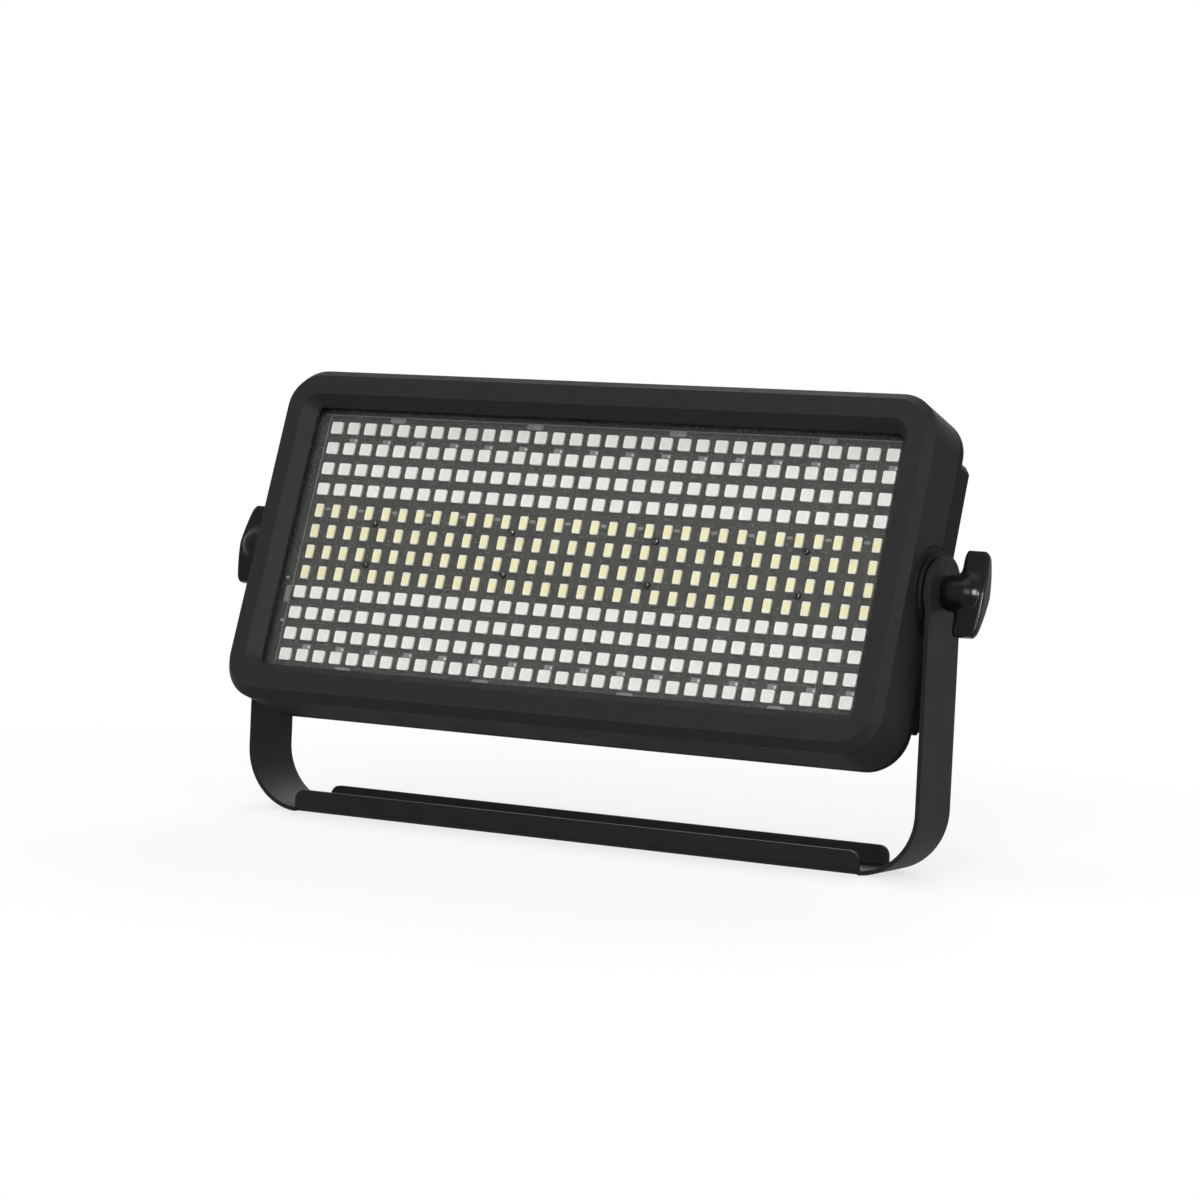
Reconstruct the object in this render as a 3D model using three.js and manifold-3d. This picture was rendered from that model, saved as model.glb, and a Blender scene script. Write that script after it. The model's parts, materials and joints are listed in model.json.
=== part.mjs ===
// An LED strobe light: a flat head full of LEDs that tilts between the arms of a steel bracket.
// Lengths are millimetres, +Z is up, the front faces -Y and +X is to the right of the viewer.
// The origin is on the floor, under the middle of the whole object.
// Pieces of the head are drawn upright around the tilt axis, and the whole head is then leant back.

import * as THREE from 'three';
import { mergeVertices } from 'three/addons/utils/BufferGeometryUtils.js';
import Module from 'manifold-3d';

const wasm = await Module();
wasm.setup();

// Clearances that every piece shares
const seat = 0.3; // gap left where one piece rests on another
const slip = 0.3; // gap around a screw, stud or plug in its hole
const overrun = 1; // how far a cutter runs past the face that it opens
const bite = 0.5; // how far a joined detail sinks into the piece that carries it
const weld = 0.001; // vertices nearer than this are one vertex

// Roundness: how many flats stand for an arc
const cornerSteps = 4;
const screwSides = 6;
const plugSides = 12;
const roundSides = 24;
const bendSteps = 8;

// LED array: white packages above and below, a band of tall yellow ones between
const ledColumns = 32;
const ledRows = 12;
const firstYellowRow = 4;
const lastYellowRow = 7;
const columnPitch = 7;
const rowPitch = 7.6;
const ledHeight = 0.8;
const whiteLedWidth = 4.95;
const whiteLedLength = 4.65;
const yellowLedWidth = 3.2;
const yellowLedLength = 5;
const yellowShift = 0.38;
const arrayHalfWidth = (ledColumns - 1) * columnPitch / 2;
const arrayHalfHeight = (ledRows - 1) * rowPitch / 2;

// Tilt axis and bracket
const restTiltDegrees = 18.4;
const pivotHeight = 92.3;
const pivotBehindLeds = 11;
const strapWidth = 24;
const strapThickness = 1.5;
const bendRadius = 21.5;
const flangeHeight = 7.8;
const flangeHalfLength = 110;
const flangeCornerRadius = 3.5;
const clampHoleRadius = 5.5;
const clampMargin = 8.5;

// Front frame, as margins outside the outermost LED centres and depths behind its face
const faceAboveLeds = 11.5;
const openingMargin = 5.5;
const bevelWidth = 3.4;
const bevelDepth = 5.1;
const faceWidthAtSides = 6;
const faceWidthAtTop = 6.7;
const chamferWidthAtSides = 2.5;
const chamferWidthAtTop = 2.9;
const chamferDepth = 3.8;
const frameDepth = 24.1;
const frameWall = 2.5;
const faceWall = 2.4;
const lipThickness = 0.6;
const pocketMargin = 8.3;
const pocketWall = 2;
const openingRadius = 3;
const faceInnerRadius = 6;
const faceOuterRadius = 11.5;
const sideRadius = 14;

// Window and its gasket
const gasketThickness = 0.7;
const gasketWidth = 2;
const windowThickness = 3;

// LED board and heat sink
const boardThickness = 1.6;
const boardMarginX = 9.5;
const boardMarginZ = 8;
const boardRadius = 1.5;
const sinkMarginX = 10.2;
const sinkMarginZ = 8.2;
const sinkBase = 3;
const finDepth = 11.3;
const finThickness = 1.6;
const finHalfLength = 40;
const finCount = 20;
const earWidth = 9;

// Rear housing
const rimThickness = 2.4;
const housingWall = 2.4;
const waistInset = 0.2;
const waistHalfHeight = 45.5;
const waistRadius = 3;
const waistDepth = 7.2;
const backHalfWidth = 104;
const backHalfHeight = 38;
const backRadius = 6;
const backEdge = 1.6;
const housingDepth = 35.1;

// Screws
const boardScrewColumnPitch = 56;
const boardScrewRowPitch = 15.2;
const screwPitchShares = [-1.5, -0.5, 0.5, 1.5];
const postMargin = 13.1;
const postRadius = 3.6;
const casePostSpacing = 100;
const sinkPostSpacing = 55;
const smallScrew = { shank: 1.5, head: 2.8, headHeight: 1.5, length: 10 };
const boardScrew = { shank: 0.9, head: 1.45, headHeight: 1.3, length: 3.9 };
const sinkScrew = { shank: 1.5, head: 2.8, headHeight: 1.5, length: 8.5 };
const fanScrew = { shank: 1.5, head: 2.8, headHeight: 1.5, length: 10.5 };
const socketScrew = { shank: 1.5, head: 2.6, headHeight: 1.4, length: 6.5 };
const eyeScrew = { shank: 2, head: 3.8, headHeight: 2, length: 8 };

// Pivot: boss on the housing, threaded insert, friction washer, knob and its stud
const bossRadius = 14.7;
const bossProud = 0.6;
const bossStep = 0.85;
const bossStepRadius = 12.1;
const insertRadius = 5;
const insertLength = 6;
const studRadius = 3;
const studReach = 5.4;
const studInKnob = 9;
const washerRadius = 10.8;
const washerThickness = 1.35;
const hubRadius = 6.1;
const hubLength = 8;
const hubNoseRadius = 3.1;
const hubNoseEnd = 13.6;
const wingLength = 28.6;
const wingRoot = 3.8;
const wingRelief = 0.9;
const wingOuter = 14.1;
const wingArch = 1.5;
const wingMidThickness = 6.4;
const wingEndThickness = 2.8;
const wingTip = 1.4;
const wingEdge = 0.7;
const wingStationShares = [-1, -0.9, -0.5, 0, 0.5, 0.9, 1];

// Fan
const fanX = -6;
const fanSize = 50;
const fanThickness = 10;
const fanRim = 1.6;
const fanScrewMargin = 5;
const fanHubShare = 0.2;
const fanHubDepth = 2.8;
const strutWidth = 3;
const strutCount = 4;
const bladeCount = 7;
const bladeGap = 1.2;
const bladeThickness = 1.1;
const bladeDepth = 5.6;
const bladePitchDegrees = 38;
const rotorDepth = 6.4;
const shaftRadius = 1.5;
const shaftReach = 2.2;
const ventMargin = 1.4;
const ventSlotWidth = 2.6;
const ventSlotPitch = 5.2;

// Sockets, control panel and safety eye on the back, as places seen from the front
const inletX = -82;
const inletZ = -18;
const inletFlangeWidth = 31;
const inletFlangeHeight = 24.5;
const inletBodyWidth = 27;
const inletBodyHeight = 19.6;
const inletBodyDepth = 20;
const inletRecessWidth = 22.6;
const inletRecessHeight = 15.2;
const inletRecessDepth = 15;
const inletRadius = 3;
const pinThickness = 2;
const pinWidth = 4.4;
const pinLength = 11;
const pinSpacing = 7;
const signalInX = 83;
const signalOutX = 50;
const signalZ = -20;
const flangeThickness = 2;
const socketFlangeWidth = 26;
const socketFlangeHeight = 31;
const socketFlangeRadius = 3.5;
const socketScrewX = 9.5;
const socketScrewZ = 12;
const socketBodyRadius = 11.8;
const socketBodyDepth = 17;
const socketRecessRadius = 9.3;
const socketRecessDepth = 12;
const plugCoreRadius = 7.8;
const contactRadius = 1.2;
const contactCircle = 4;
const contactLength = 9;
const contactAngles = [90, 210, 330];
const panelX = 66.5;
const displayZ = 25;
const displayWidth = 30;
const displayHeight = 12;
const displayThickness = 2;
const displayLedge = 1.5;
const displayRadius = 1;
const buttonZ = 9.5;
const buttonPitch = 11;
const buttonPlaceShares = [-1.5, -0.5, 0.5, 1.5];
const buttonRadius = 3;
const buttonCollarRadius = 4.2;
const buttonCollar = 1.2;
const buttonProud = 1.6;
const buttonTail = 1;
const controlBoardWidth = 60;
const controlBoardHeight = 33;
const controlBoardZ = 18;
const controlBoardDepth = 9.5;
const displayModuleWidth = 31;
const displayModuleHeight = 13;
const switchSize = 6;
const buttonFreePlay = 1.2;
const eyeX = -82;
const eyeZ = 14;
const eyeWidth = 27;
const eyeFootHeight = 12;
const eyePlate = 2.5;
const eyeReach = 16;
const eyeHoleRadius = 5;
const eyeScrewSpacing = 16;

// Boards inside
const innerBoardThickness = 1.6;
const supplyX = -71;
const supplyWidth = 58;
const supplyHeight = 72;
const supplyTallestPart = 17;
const driverX = 66;
const driverWidth = 62;
const driverHeight = 70;
const driverTallestPart = 5;

// Places along the depth, worked out from the tilt axis at zero
const ledFaceY = -pivotBehindLeds;
const faceY = ledFaceY - faceAboveLeds;
const openingY = faceY + bevelDepth;
const lipBackY = openingY + lipThickness;
const gasketY = lipBackY + seat;
const windowY = gasketY + gasketThickness + seat;
const windowBackY = windowY + windowThickness;
const boardY = ledFaceY + ledHeight;
const sinkY = boardY + boardThickness + seat;
const finRootY = sinkY + sinkBase;
const finTipY = finRootY + finDepth;
const innerBoardY = finTipY + seat;
const seamY = faceY + frameDepth;
const rimY = seamY + seat;
const waistY = rimY + rimThickness;
const waistBackY = waistY + waistDepth;
const backY = rimY + housingDepth;
const innerBackY = backY - housingWall;
const postZ = arrayHalfHeight + postMargin;

// Outlines as half width, half height and corner radius
const outline = (marginX, marginZ, radius) => ({
  halfWidth: arrayHalfWidth + marginX,
  halfHeight: arrayHalfHeight + marginZ,
  radius,
});
const inset = (shape, wall) => ({
  halfWidth: shape.halfWidth - wall,
  halfHeight: shape.halfHeight - wall,
  radius: Math.max(shape.radius - wall, wall / 2),
});
const faceInnerMargin = openingMargin + bevelWidth;
const faceOuterMarginX = faceInnerMargin + faceWidthAtSides;
const faceOuterMarginZ = faceInnerMargin + faceWidthAtTop;
const opening = outline(openingMargin, openingMargin, openingRadius);
const faceInner = outline(faceInnerMargin, faceInnerMargin, faceInnerRadius);
const faceOuter = outline(faceOuterMarginX, faceOuterMarginZ, faceOuterRadius);
const side = outline(
  faceOuterMarginX + chamferWidthAtSides,
  faceOuterMarginZ + chamferWidthAtTop,
  sideRadius,
);
const cavity = inset(side, frameWall);
const pocket = inset(faceInner, faceInnerMargin - pocketMargin);
const pocketOuter = inset(pocket, -pocketWall);
const waist = {
  halfWidth: side.halfWidth - waistInset,
  halfHeight: waistHalfHeight,
  radius: waistRadius,
};
const back = { halfWidth: backHalfWidth, halfHeight: backHalfHeight, radius: backRadius };
const bossRingX = waist.halfWidth + bossProud;
const bossFaceX = bossRingX + bossStep;
const bossRootX = pocketOuter.halfWidth + seat;
const armInnerX = bossFaceX + washerThickness + 2 * seat;
const bracketWidth = 2 * (armInnerX + strapThickness);
const clampHalfLength = clampHoleRadius + clampMargin;
const fanBore = fanSize / 2 - fanRim;
const fanScrewPitch = fanSize - 2 * fanScrewMargin;
const fanHubRadius = fanSize * fanHubShare;
const bladeTip = fanBore - bladeGap;
const ventRadius = fanBore - ventMargin;
const ventSlotCount = 2 * Math.floor(ventRadius / ventSlotPitch);

// Finishes
const finish = (color, roughness, metalness = 0) => (
  new THREE.MeshStandardMaterial({ color, roughness, metalness })
);
const housingPlastic = finish(0x2b2c2c, 0.6);
const powderCoat = finish(0x1f2021, 0.65, 0.3);
const knobPlastic = finish(0x1c1c1d, 0.35);
const blackRubber = finish(0x141414, 0.85);
const clearWindow = finish(0x8d908c, 0.15);
const circuitBoard = finish(0x565752, 0.7);
const greenBoard = finish(0x1f5a3a, 0.6);
const aluminium = finish(0xb4b7ba, 0.45, 0.9);
const zincSteel = finish(0x8e9194, 0.4, 0.9);
const blackSteel = finish(0x2a2a2b, 0.45, 0.8);
const brass = finish(0xb08a3e, 0.4, 0.9);
const smokedPlastic = finish(0x301316, 0.2);

// Geometry helpers

function move(geometry, x, y, z) {
  return geometry.translate(x, y, z);
}

function block(width, depth, height) {
  return new THREE.BoxGeometry(width, depth, height);
}

// A round bar along Y, centred on the origin.
function rod(radius, length, sides = roundSides) {
  return new THREE.CylinderGeometry(radius, radius, length, sides);
}

function rodAlongX(radius, length, sides = roundSides) {
  return rod(radius, length, sides).rotateZ(Math.PI / 2);
}

function rodAlongZ(radius, length, sides = roundSides) {
  return rod(radius, length, sides).rotateX(Math.PI / 2);
}

// The corner points of a rounded rectangle in the XZ plane, turning from +X towards +Z.
function roundedCorners({ halfWidth, halfHeight, radius, steps = cornerSteps }) {
  const points = [];
  const quarter = Math.PI / 2;
  const corners = [[1, 1], [-1, 1], [-1, -1], [1, -1]];
  corners.forEach(([signX, signZ], index) => {
    for (let step = 0; step <= steps; step += 1) {
      const angle = quarter * (index + step / steps);
      points.push([
        signX * (halfWidth - radius) + radius * Math.cos(angle),
        signZ * (halfHeight - radius) + radius * Math.sin(angle),
      ]);
    }
  });
  return points;
}

function ring(shape, y, centreX = 0, centreZ = 0) {
  return roundedCorners(shape).map(([x, z]) => [x + centreX, y, z + centreZ]);
}

// The skin between rings of equal point count, from front to back.
function skin(rings, links) {
  const count = rings[0].length;
  const faces = [];
  for (let link = 0; link < links; link += 1) {
    const front = link * count;
    const rear = ((link + 1) % rings.length) * count;
    for (let point = 0; point < count; point += 1) {
      const next = (point + 1) % count;
      faces.push(front + point, rear + point, rear + next);
      faces.push(front + point, rear + next, front + next);
    }
  }
  return faces;
}

function meshOf(rings, faces) {
  const geometry = new THREE.BufferGeometry();
  geometry.setAttribute('position', new THREE.Float32BufferAttribute(rings.flat(2), 3));
  geometry.setIndex(faces);
  return geometry;
}

// A solid through rings, from front to back, closed by a flat cap at each end.
function loft(rings) {
  const faces = skin(rings, rings.length - 1);
  const contour = rings[0].map(([x, , z]) => new THREE.Vector2(x, z));
  const lastStart = (rings.length - 1) * rings[0].length;
  THREE.ShapeUtils.triangulateShape(contour, []).forEach(([a, b, c]) => {
    faces.push(a, b, c);
    faces.push(lastStart + c, lastStart + b, lastStart + a);
  });
  return meshOf(rings, faces);
}

// A closed frame: the rings run round its section and meet again.
function hoop(rings) {
  return meshOf(rings, skin(rings, rings.length));
}

function slab(shape, frontY, thickness, centreX = 0, centreZ = 0) {
  return loft([
    ring(shape, frontY, centreX, centreZ),
    ring(shape, frontY + thickness, centreX, centreZ),
  ]);
}

function solid(geometry) {
  const bare = new THREE.BufferGeometry();
  bare.setAttribute('position', geometry.getAttribute('position'));
  bare.setIndex(geometry.index);
  const merged = mergeVertices(bare, weld);
  return new wasm.Manifold(new wasm.Mesh({
    numProp: 3,
    vertProperties: new Float32Array(merged.attributes.position.array),
    triVerts: new Uint32Array(merged.index.array),
  }));
}

// Joins the first list of geometries and cuts the second list out of them.
function shaped(parts, cuts = []) {
  let body = wasm.Manifold.union(parts.map(solid));
  if (cuts.length > 0) {
    body = body.subtract(wasm.Manifold.union(cuts.map(solid)));
  }
  const mesh = body.getMesh();
  const geometry = new THREE.BufferGeometry();
  geometry.setAttribute('position', new THREE.Float32BufferAttribute(mesh.vertProperties, 3));
  geometry.setIndex(Array.from(mesh.triVerts));
  return geometry;
}

function piece(group, name, geometry, material) {
  geometry.computeVertexNormals();
  const mesh = new THREE.Mesh(geometry, material);
  mesh.name = name;
  group.add(mesh);
  return mesh;
}

// A pan-head screw along Y: the underside of its head is at y = 0 and its shank runs towards -Y.
function screwGeometry({ shank, head, headHeight, length }) {
  const profile = [
    new THREE.Vector2(0, -length),
    new THREE.Vector2(shank, -length),
    new THREE.Vector2(shank, 0),
    new THREE.Vector2(head, 0),
    new THREE.Vector2(head, headHeight),
    new THREE.Vector2(0, headHeight),
  ];
  return new THREE.LatheGeometry(profile, screwSides);
}

function screwFromBehind(group, name, size, x, y, z) {
  piece(group, name, move(screwGeometry(size), x, y, z), zincSteel);
}

// A hole for a screw's shank, open at y and running towards -Y.
function screwHole(size, x, y, z, depth) {
  return move(rod(size.shank + slip, depth + overrun, screwSides), x, y - (depth - overrun) / 2, z);
}

const casePosts = [];
const sinkPosts = [];
[-1, 1].forEach((signZ) => {
  [-1, 0, 1].forEach((column) => casePosts.push([column * casePostSpacing, signZ * postZ]));
  [-1, 1].forEach((column) => sinkPosts.push([column * sinkPostSpacing, signZ * postZ]));
});

// Bracket: a steel strap bent into a U, with an upturned flange along each edge of its base

function strapPath(offset) {
  const outer = bracketWidth / 2 - offset;
  const radius = bendRadius - offset;
  const centreX = bracketWidth / 2 - bendRadius;
  const points = [];
  for (let step = 0; step <= bendSteps; step += 1) {
    const angle = (Math.PI / 2) * (step / bendSteps);
    points.push([centreX + radius * Math.cos(angle), bendRadius - radius * Math.sin(angle)]);
  }
  return { outer, points };
}

function strapGeometry() {
  const armTop = pivotHeight + strapWidth / 2;
  const outside = strapPath(0);
  const inside = strapPath(strapThickness);
  const rightSide = [[outside.outer, armTop], ...outside.points];
  const leftSide = rightSide.map(([x, z]) => [-x, z]).reverse();
  const innerRight = [[inside.outer, armTop], ...inside.points];
  const innerLeft = innerRight.map(([x, z]) => [-x, z]).reverse();
  const contour = [...rightSide, ...leftSide, ...innerLeft.reverse(), ...innerRight.reverse()];
  const section = new THREE.Shape(contour.map(([x, z]) => new THREE.Vector2(x, z)));
  const strap = new THREE.ExtrudeGeometry(section, { depth: strapWidth, bevelEnabled: false });
  return strap.rotateX(Math.PI / 2).translate(0, strapWidth / 2, 0);
}

// What is left of the strap's two upper corners on each arm, seen along X, is a round end.
function armEndCutter() {
  const half = strapWidth / 2;
  const corner = new THREE.Shape();
  corner.moveTo(half + overrun, 0);
  corner.lineTo(half + overrun, half + overrun);
  corner.lineTo(-half - overrun, half + overrun);
  corner.lineTo(-half - overrun, 0);
  corner.lineTo(-half, 0);
  corner.absarc(0, 0, half, Math.PI, 0, true);
  const length = bracketWidth + 2 * overrun;
  const cutter = new THREE.ExtrudeGeometry(corner, {
    depth: length,
    bevelEnabled: false,
    curveSegments: roundSides / 2,
  });
  cutter.rotateX(Math.PI / 2).rotateZ(Math.PI / 2);
  return cutter.translate(-length / 2, 0, pivotHeight);
}

function flangeGeometry(sign) {
  const plate = new THREE.Shape();
  const top = flangeHeight;
  const end = flangeHalfLength;
  const radius = flangeCornerRadius;
  plate.moveTo(-end, 0);
  plate.lineTo(end, 0);
  plate.lineTo(end, top - radius);
  plate.absarc(end - radius, top - radius, radius, 0, Math.PI / 2, false);
  plate.lineTo(-end + radius, top);
  plate.absarc(-end + radius, top - radius, radius, Math.PI / 2, Math.PI, false);
  const flange = new THREE.ExtrudeGeometry(plate, {
    depth: strapThickness,
    bevelEnabled: false,
    curveSegments: cornerSteps,
  });
  flange.rotateX(Math.PI / 2);
  const outerY = strapWidth / 2;
  return flange.translate(0, sign > 0 ? outerY : strapThickness - outerY, 0);
}

// One strap makes the whole bracket. It is stated in three lengths that meet beside the clamp hole.
function bracket(startX, endX) {
  const reach = bracketWidth + 2 * overrun;
  const studHole = rodAlongX(studRadius + slip, reach);
  const clampHole = rodAlongZ(clampHoleRadius, strapThickness + 2 * overrun);
  const beside = () => block(reach, strapWidth + 2 * overrun, 2 * (pivotHeight + strapWidth));
  return shaped(
    [strapGeometry(), flangeGeometry(-1), flangeGeometry(1)],
    [
      armEndCutter(),
      move(studHole, 0, 0, pivotHeight),
      move(clampHole, 0, 0, strapThickness / 2),
      move(beside(), startX - reach / 2, 0, 0),
      move(beside(), endX + reach / 2, 0, 0),
    ],
  );
}

// Front frame: a flat face with a bevel down to the window, a chamfered rim and screw posts inside

function frontFrame() {
  const innerFaceY = faceY + faceWall;
  const shell = hoop([
    ring(faceOuter, faceY),
    ring(side, faceY + chamferDepth),
    ring(side, seamY),
    ring(cavity, seamY),
    ring(cavity, innerFaceY),
    ring(pocketOuter, innerFaceY),
    ring(pocketOuter, windowBackY),
    ring(pocket, windowBackY),
    ring(pocket, lipBackY),
    ring(opening, lipBackY),
    ring(opening, openingY),
    ring(faceInner, faceY),
  ]);
  const post = ([x, z], endY) => {
    const startY = innerFaceY - bite;
    return move(rod(postRadius, endY - startY, screwSides * 2), x, (startY + endY) / 2, z);
  };
  const sinkPostEnd = sinkY - seat;
  const bossNotch = (sign) => {
    const length = frameWall + 2 * overrun;
    const centre = side.halfWidth - frameWall / 2;
    return move(rodAlongX(bossRadius + slip, length), sign * centre, 0, 0);
  };
  return shaped(
    [
      shell,
      ...casePosts.map((place) => post(place, seamY)),
      ...sinkPosts.map((place) => post(place, sinkPostEnd)),
    ],
    [
      ...casePosts.map(([x, z]) => screwHole(smallScrew, x, seamY, z, smallScrew.length - rimThickness)),
      ...sinkPosts.map(([x, z]) => screwHole(sinkScrew, x, sinkPostEnd, z, sinkScrew.length - sinkBase)),
      bossNotch(-1),
      bossNotch(1),
    ],
  );
}

function windowGasket() {
  const outer = inset(pocket, slip);
  const inner = inset(outer, gasketWidth);
  return hoop([
    ring(outer, gasketY),
    ring(outer, gasketY + gasketThickness),
    ring(inner, gasketY + gasketThickness),
    ring(inner, gasketY),
  ]);
}

function windowPane() {
  return slab(inset(pocket, slip), windowY, windowThickness);
}

// LED board: one plate with its LED packages soldered on

function ledPlaces() {
  const places = [];
  for (let row = 0; row < ledRows; row += 1) {
    const yellow = row >= firstYellowRow && row <= lastYellowRow;
    const shift = yellow ? yellowShift : 0;
    for (let column = 0; column < ledColumns; column += 1) {
      places.push({
        x: column * columnPitch - arrayHalfWidth + shift,
        z: arrayHalfHeight - row * rowPitch - shift,
        width: yellow ? yellowLedWidth : whiteLedWidth,
        length: yellow ? yellowLedLength : whiteLedLength,
      });
    }
  }
  return places;
}

const boardScrewPlaces = [];
[-1, 1].forEach((signZ) => {
  screwPitchShares.forEach((share) => {
    boardScrewPlaces.push([share * boardScrewColumnPitch, signZ * boardScrewRowPitch / 2]);
  });
});

function ledBoard() {
  const plate = slab(outline(boardMarginX, boardMarginZ, boardRadius), boardY, boardThickness);
  const depth = ledHeight + bite;
  const packages = ledPlaces().map(({ x, z, width, length }) => (
    move(block(width, depth, length), x, ledFaceY + depth / 2, z)
  ));
  const holes = boardScrewPlaces.map(([x, z]) => (
    screwHole(boardScrew, x, boardY + boardThickness, z, boardThickness + overrun)
  ));
  return shaped([plate, ...packages], holes);
}

// Heat sink: a finned aluminium plate behind the board, hung on four ears

function heatSink() {
  const plate = outline(sinkMarginX, sinkMarginZ, boardRadius);
  const finSpan = 2 * (plate.halfWidth - finThickness);
  const fins = [];
  for (let fin = 0; fin < finCount; fin += 1) {
    const x = finSpan * (fin / (finCount - 1) - 1 / 2);
    const depth = finDepth + bite;
    fins.push(move(block(finThickness, depth, 2 * finHalfLength), x, finTipY - depth / 2, 0));
  }
  const earTop = cavity.halfHeight - seat;
  const earBottom = plate.halfHeight - bite;
  const ears = sinkPosts.map(([x, z]) => (
    move(
      block(earWidth, sinkBase, earTop - earBottom),
      x,
      sinkY + sinkBase / 2,
      Math.sign(z) * (earTop + earBottom) / 2,
    )
  ));
  const boardScrewDepth = boardScrew.length - boardThickness;
  const boardHoles = boardScrewPlaces.map(([x, z]) => (
    screwHole(boardScrew, x, sinkY + boardScrewDepth, z, boardScrewDepth + overrun)
  ));
  const earHoles = sinkPosts.map(([x, z]) => (
    screwHole(sinkScrew, x, finRootY, z, sinkBase + overrun)
  ));
  return shaped([slab(plate, sinkY, sinkBase), ...fins, ...ears], [...boardHoles, ...earHoles]);
}

// Rear housing: a rim that closes the frame, a waist with the pivot bosses and a tapered back

function ventSlots() {
  const slots = [];
  for (let index = 0; index < ventSlotCount; index += 1) {
    const offset = (index - (ventSlotCount - 1) / 2) * ventSlotPitch;
    const halfLength = Math.sqrt(ventRadius ** 2 - offset ** 2);
    slots.push(move(
      block(ventSlotWidth, housingWall + 2 * overrun, 2 * halfLength),
      fanX + offset,
      backY - housingWall / 2,
      0,
    ));
  }
  return slots;
}

const fanCorners = [];
[-1, 1].forEach((signX) => {
  [-1, 1].forEach((signZ) => {
    fanCorners.push([fanX + signX * fanScrewPitch / 2, signZ * fanScrewPitch / 2]);
  });
});
const buttonXs = buttonPlaceShares.map((share) => panelX + share * buttonPitch);
const socketScrewPlaces = (x) => [
  [x - socketScrewX, signalZ + socketScrewZ],
  [x + socketScrewX, signalZ - socketScrewZ],
];
const eyeScrewPlaces = [-1, 1].map((sign) => [
  eyeX + sign * eyeScrewSpacing / 2,
  eyeZ + (eyeFootHeight - eyePlate) / 2,
]);

function throughBack(geometry, x, z) {
  return move(geometry, x, backY - housingWall / 2, z);
}

function controlPosts() {
  const frontY = innerBackY - controlBoardDepth + innerBoardThickness + seat;
  const length = innerBackY - frontY + bite;
  const offset = controlBoardWidth / 2 - postRadius;
  return [-1, 1].map((sign) => (
    move(rod(postRadius, length, screwSides), panelX + sign * offset, frontY + length / 2, controlBoardZ)
  ));
}

function rearHousing() {
  const throughWall = housingWall + 2 * overrun;
  const hollow = inset(waist, housingWall);
  const hollowBack = inset(back, housingWall);
  const outside = loft([
    ring(side, rimY),
    ring(side, waistY),
    ring(waist, waistY),
    ring(waist, waistBackY),
    ring(back, backY - backEdge),
    ring(inset(back, backEdge), backY),
  ]);
  const inside = loft([
    ring(hollow, rimY - overrun),
    ring(hollow, waistBackY),
    ring(hollowBack, innerBackY),
  ]);
  const bossStage = (sign, radius, endX) => {
    const length = endX - bossRootX;
    return move(rodAlongX(radius, length), sign * (endX - length / 2), 0, 0);
  };
  const boss = (sign) => [
    bossStage(sign, bossRadius, bossRingX),
    bossStage(sign, bossStepRadius, bossFaceX),
  ];
  const insertHole = (sign) => {
    const length = insertLength + overrun;
    const centre = bossFaceX - seat - insertLength + length / 2;
    return move(rodAlongX(insertRadius + slip, length, screwSides * 2), sign * centre, 0, 0);
  };
  const hollowed = shaped([outside], [inside]);
  return shaped(
    [hollowed, ...boss(-1), ...boss(1), ...controlPosts()],
    [
      insertHole(-1),
      insertHole(1),
      ...casePosts.map(([x, z]) => screwHole(smallScrew, x, waistY, z, rimThickness + overrun)),
      ...ventSlots(),
      ...fanCorners.map(([x, z]) => throughBack(rod(fanScrew.shank + slip, throughWall, screwSides), x, z)),
      throughBack(block(inletBodyWidth + 2 * slip, throughWall, inletBodyHeight + 2 * slip), inletX, inletZ),
      throughBack(rod(socketBodyRadius + slip, throughWall), signalInX, signalZ),
      throughBack(rod(socketBodyRadius + slip, throughWall), signalOutX, signalZ),
      ...[...socketScrewPlaces(signalInX), ...socketScrewPlaces(signalOutX)].map(([x, z]) => (
        throughBack(rod(socketScrew.shank + slip, throughWall, screwSides), x, z)
      )),
      ...eyeScrewPlaces.map(([x, z]) => throughBack(rod(eyeScrew.shank + slip, throughWall, screwSides), x, z)),
      throughBack(block(displayWidth + 2 * slip, throughWall, displayHeight + 2 * slip), panelX, displayZ),
      ...buttonXs.map((x) => throughBack(rod(buttonRadius + slip, throughWall, screwSides * 2), x, buttonZ)),
    ],
  );
}

// Pivot pieces, drawn for the side that sign names

function pivotInsert(sign) {
  const centre = bossFaceX - seat - insertLength / 2;
  return shaped(
    [move(rodAlongX(insertRadius, insertLength, screwSides * 2), sign * centre, 0, 0)],
    [move(rodAlongX(studRadius + slip, insertLength + 2 * overrun, screwSides * 2), sign * centre, 0, 0)],
  );
}

function frictionWasher(sign) {
  const centre = sign * (bossFaceX + seat + washerThickness / 2);
  const bore = rodAlongX(studRadius + slip, washerThickness + 2 * overrun, screwSides * 2);
  return shaped(
    [move(rodAlongX(washerRadius, washerThickness), centre, 0, 0)],
    [move(bore, centre, 0, 0)],
  );
}

function knobStud(sign) {
  const start = bossFaceX - studReach;
  const end = bracketWidth / 2 + seat + studInKnob;
  return move(rodAlongX(studRadius, end - start, screwSides * 2), sign * (start + end) / 2, 0, 0);
}

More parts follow.
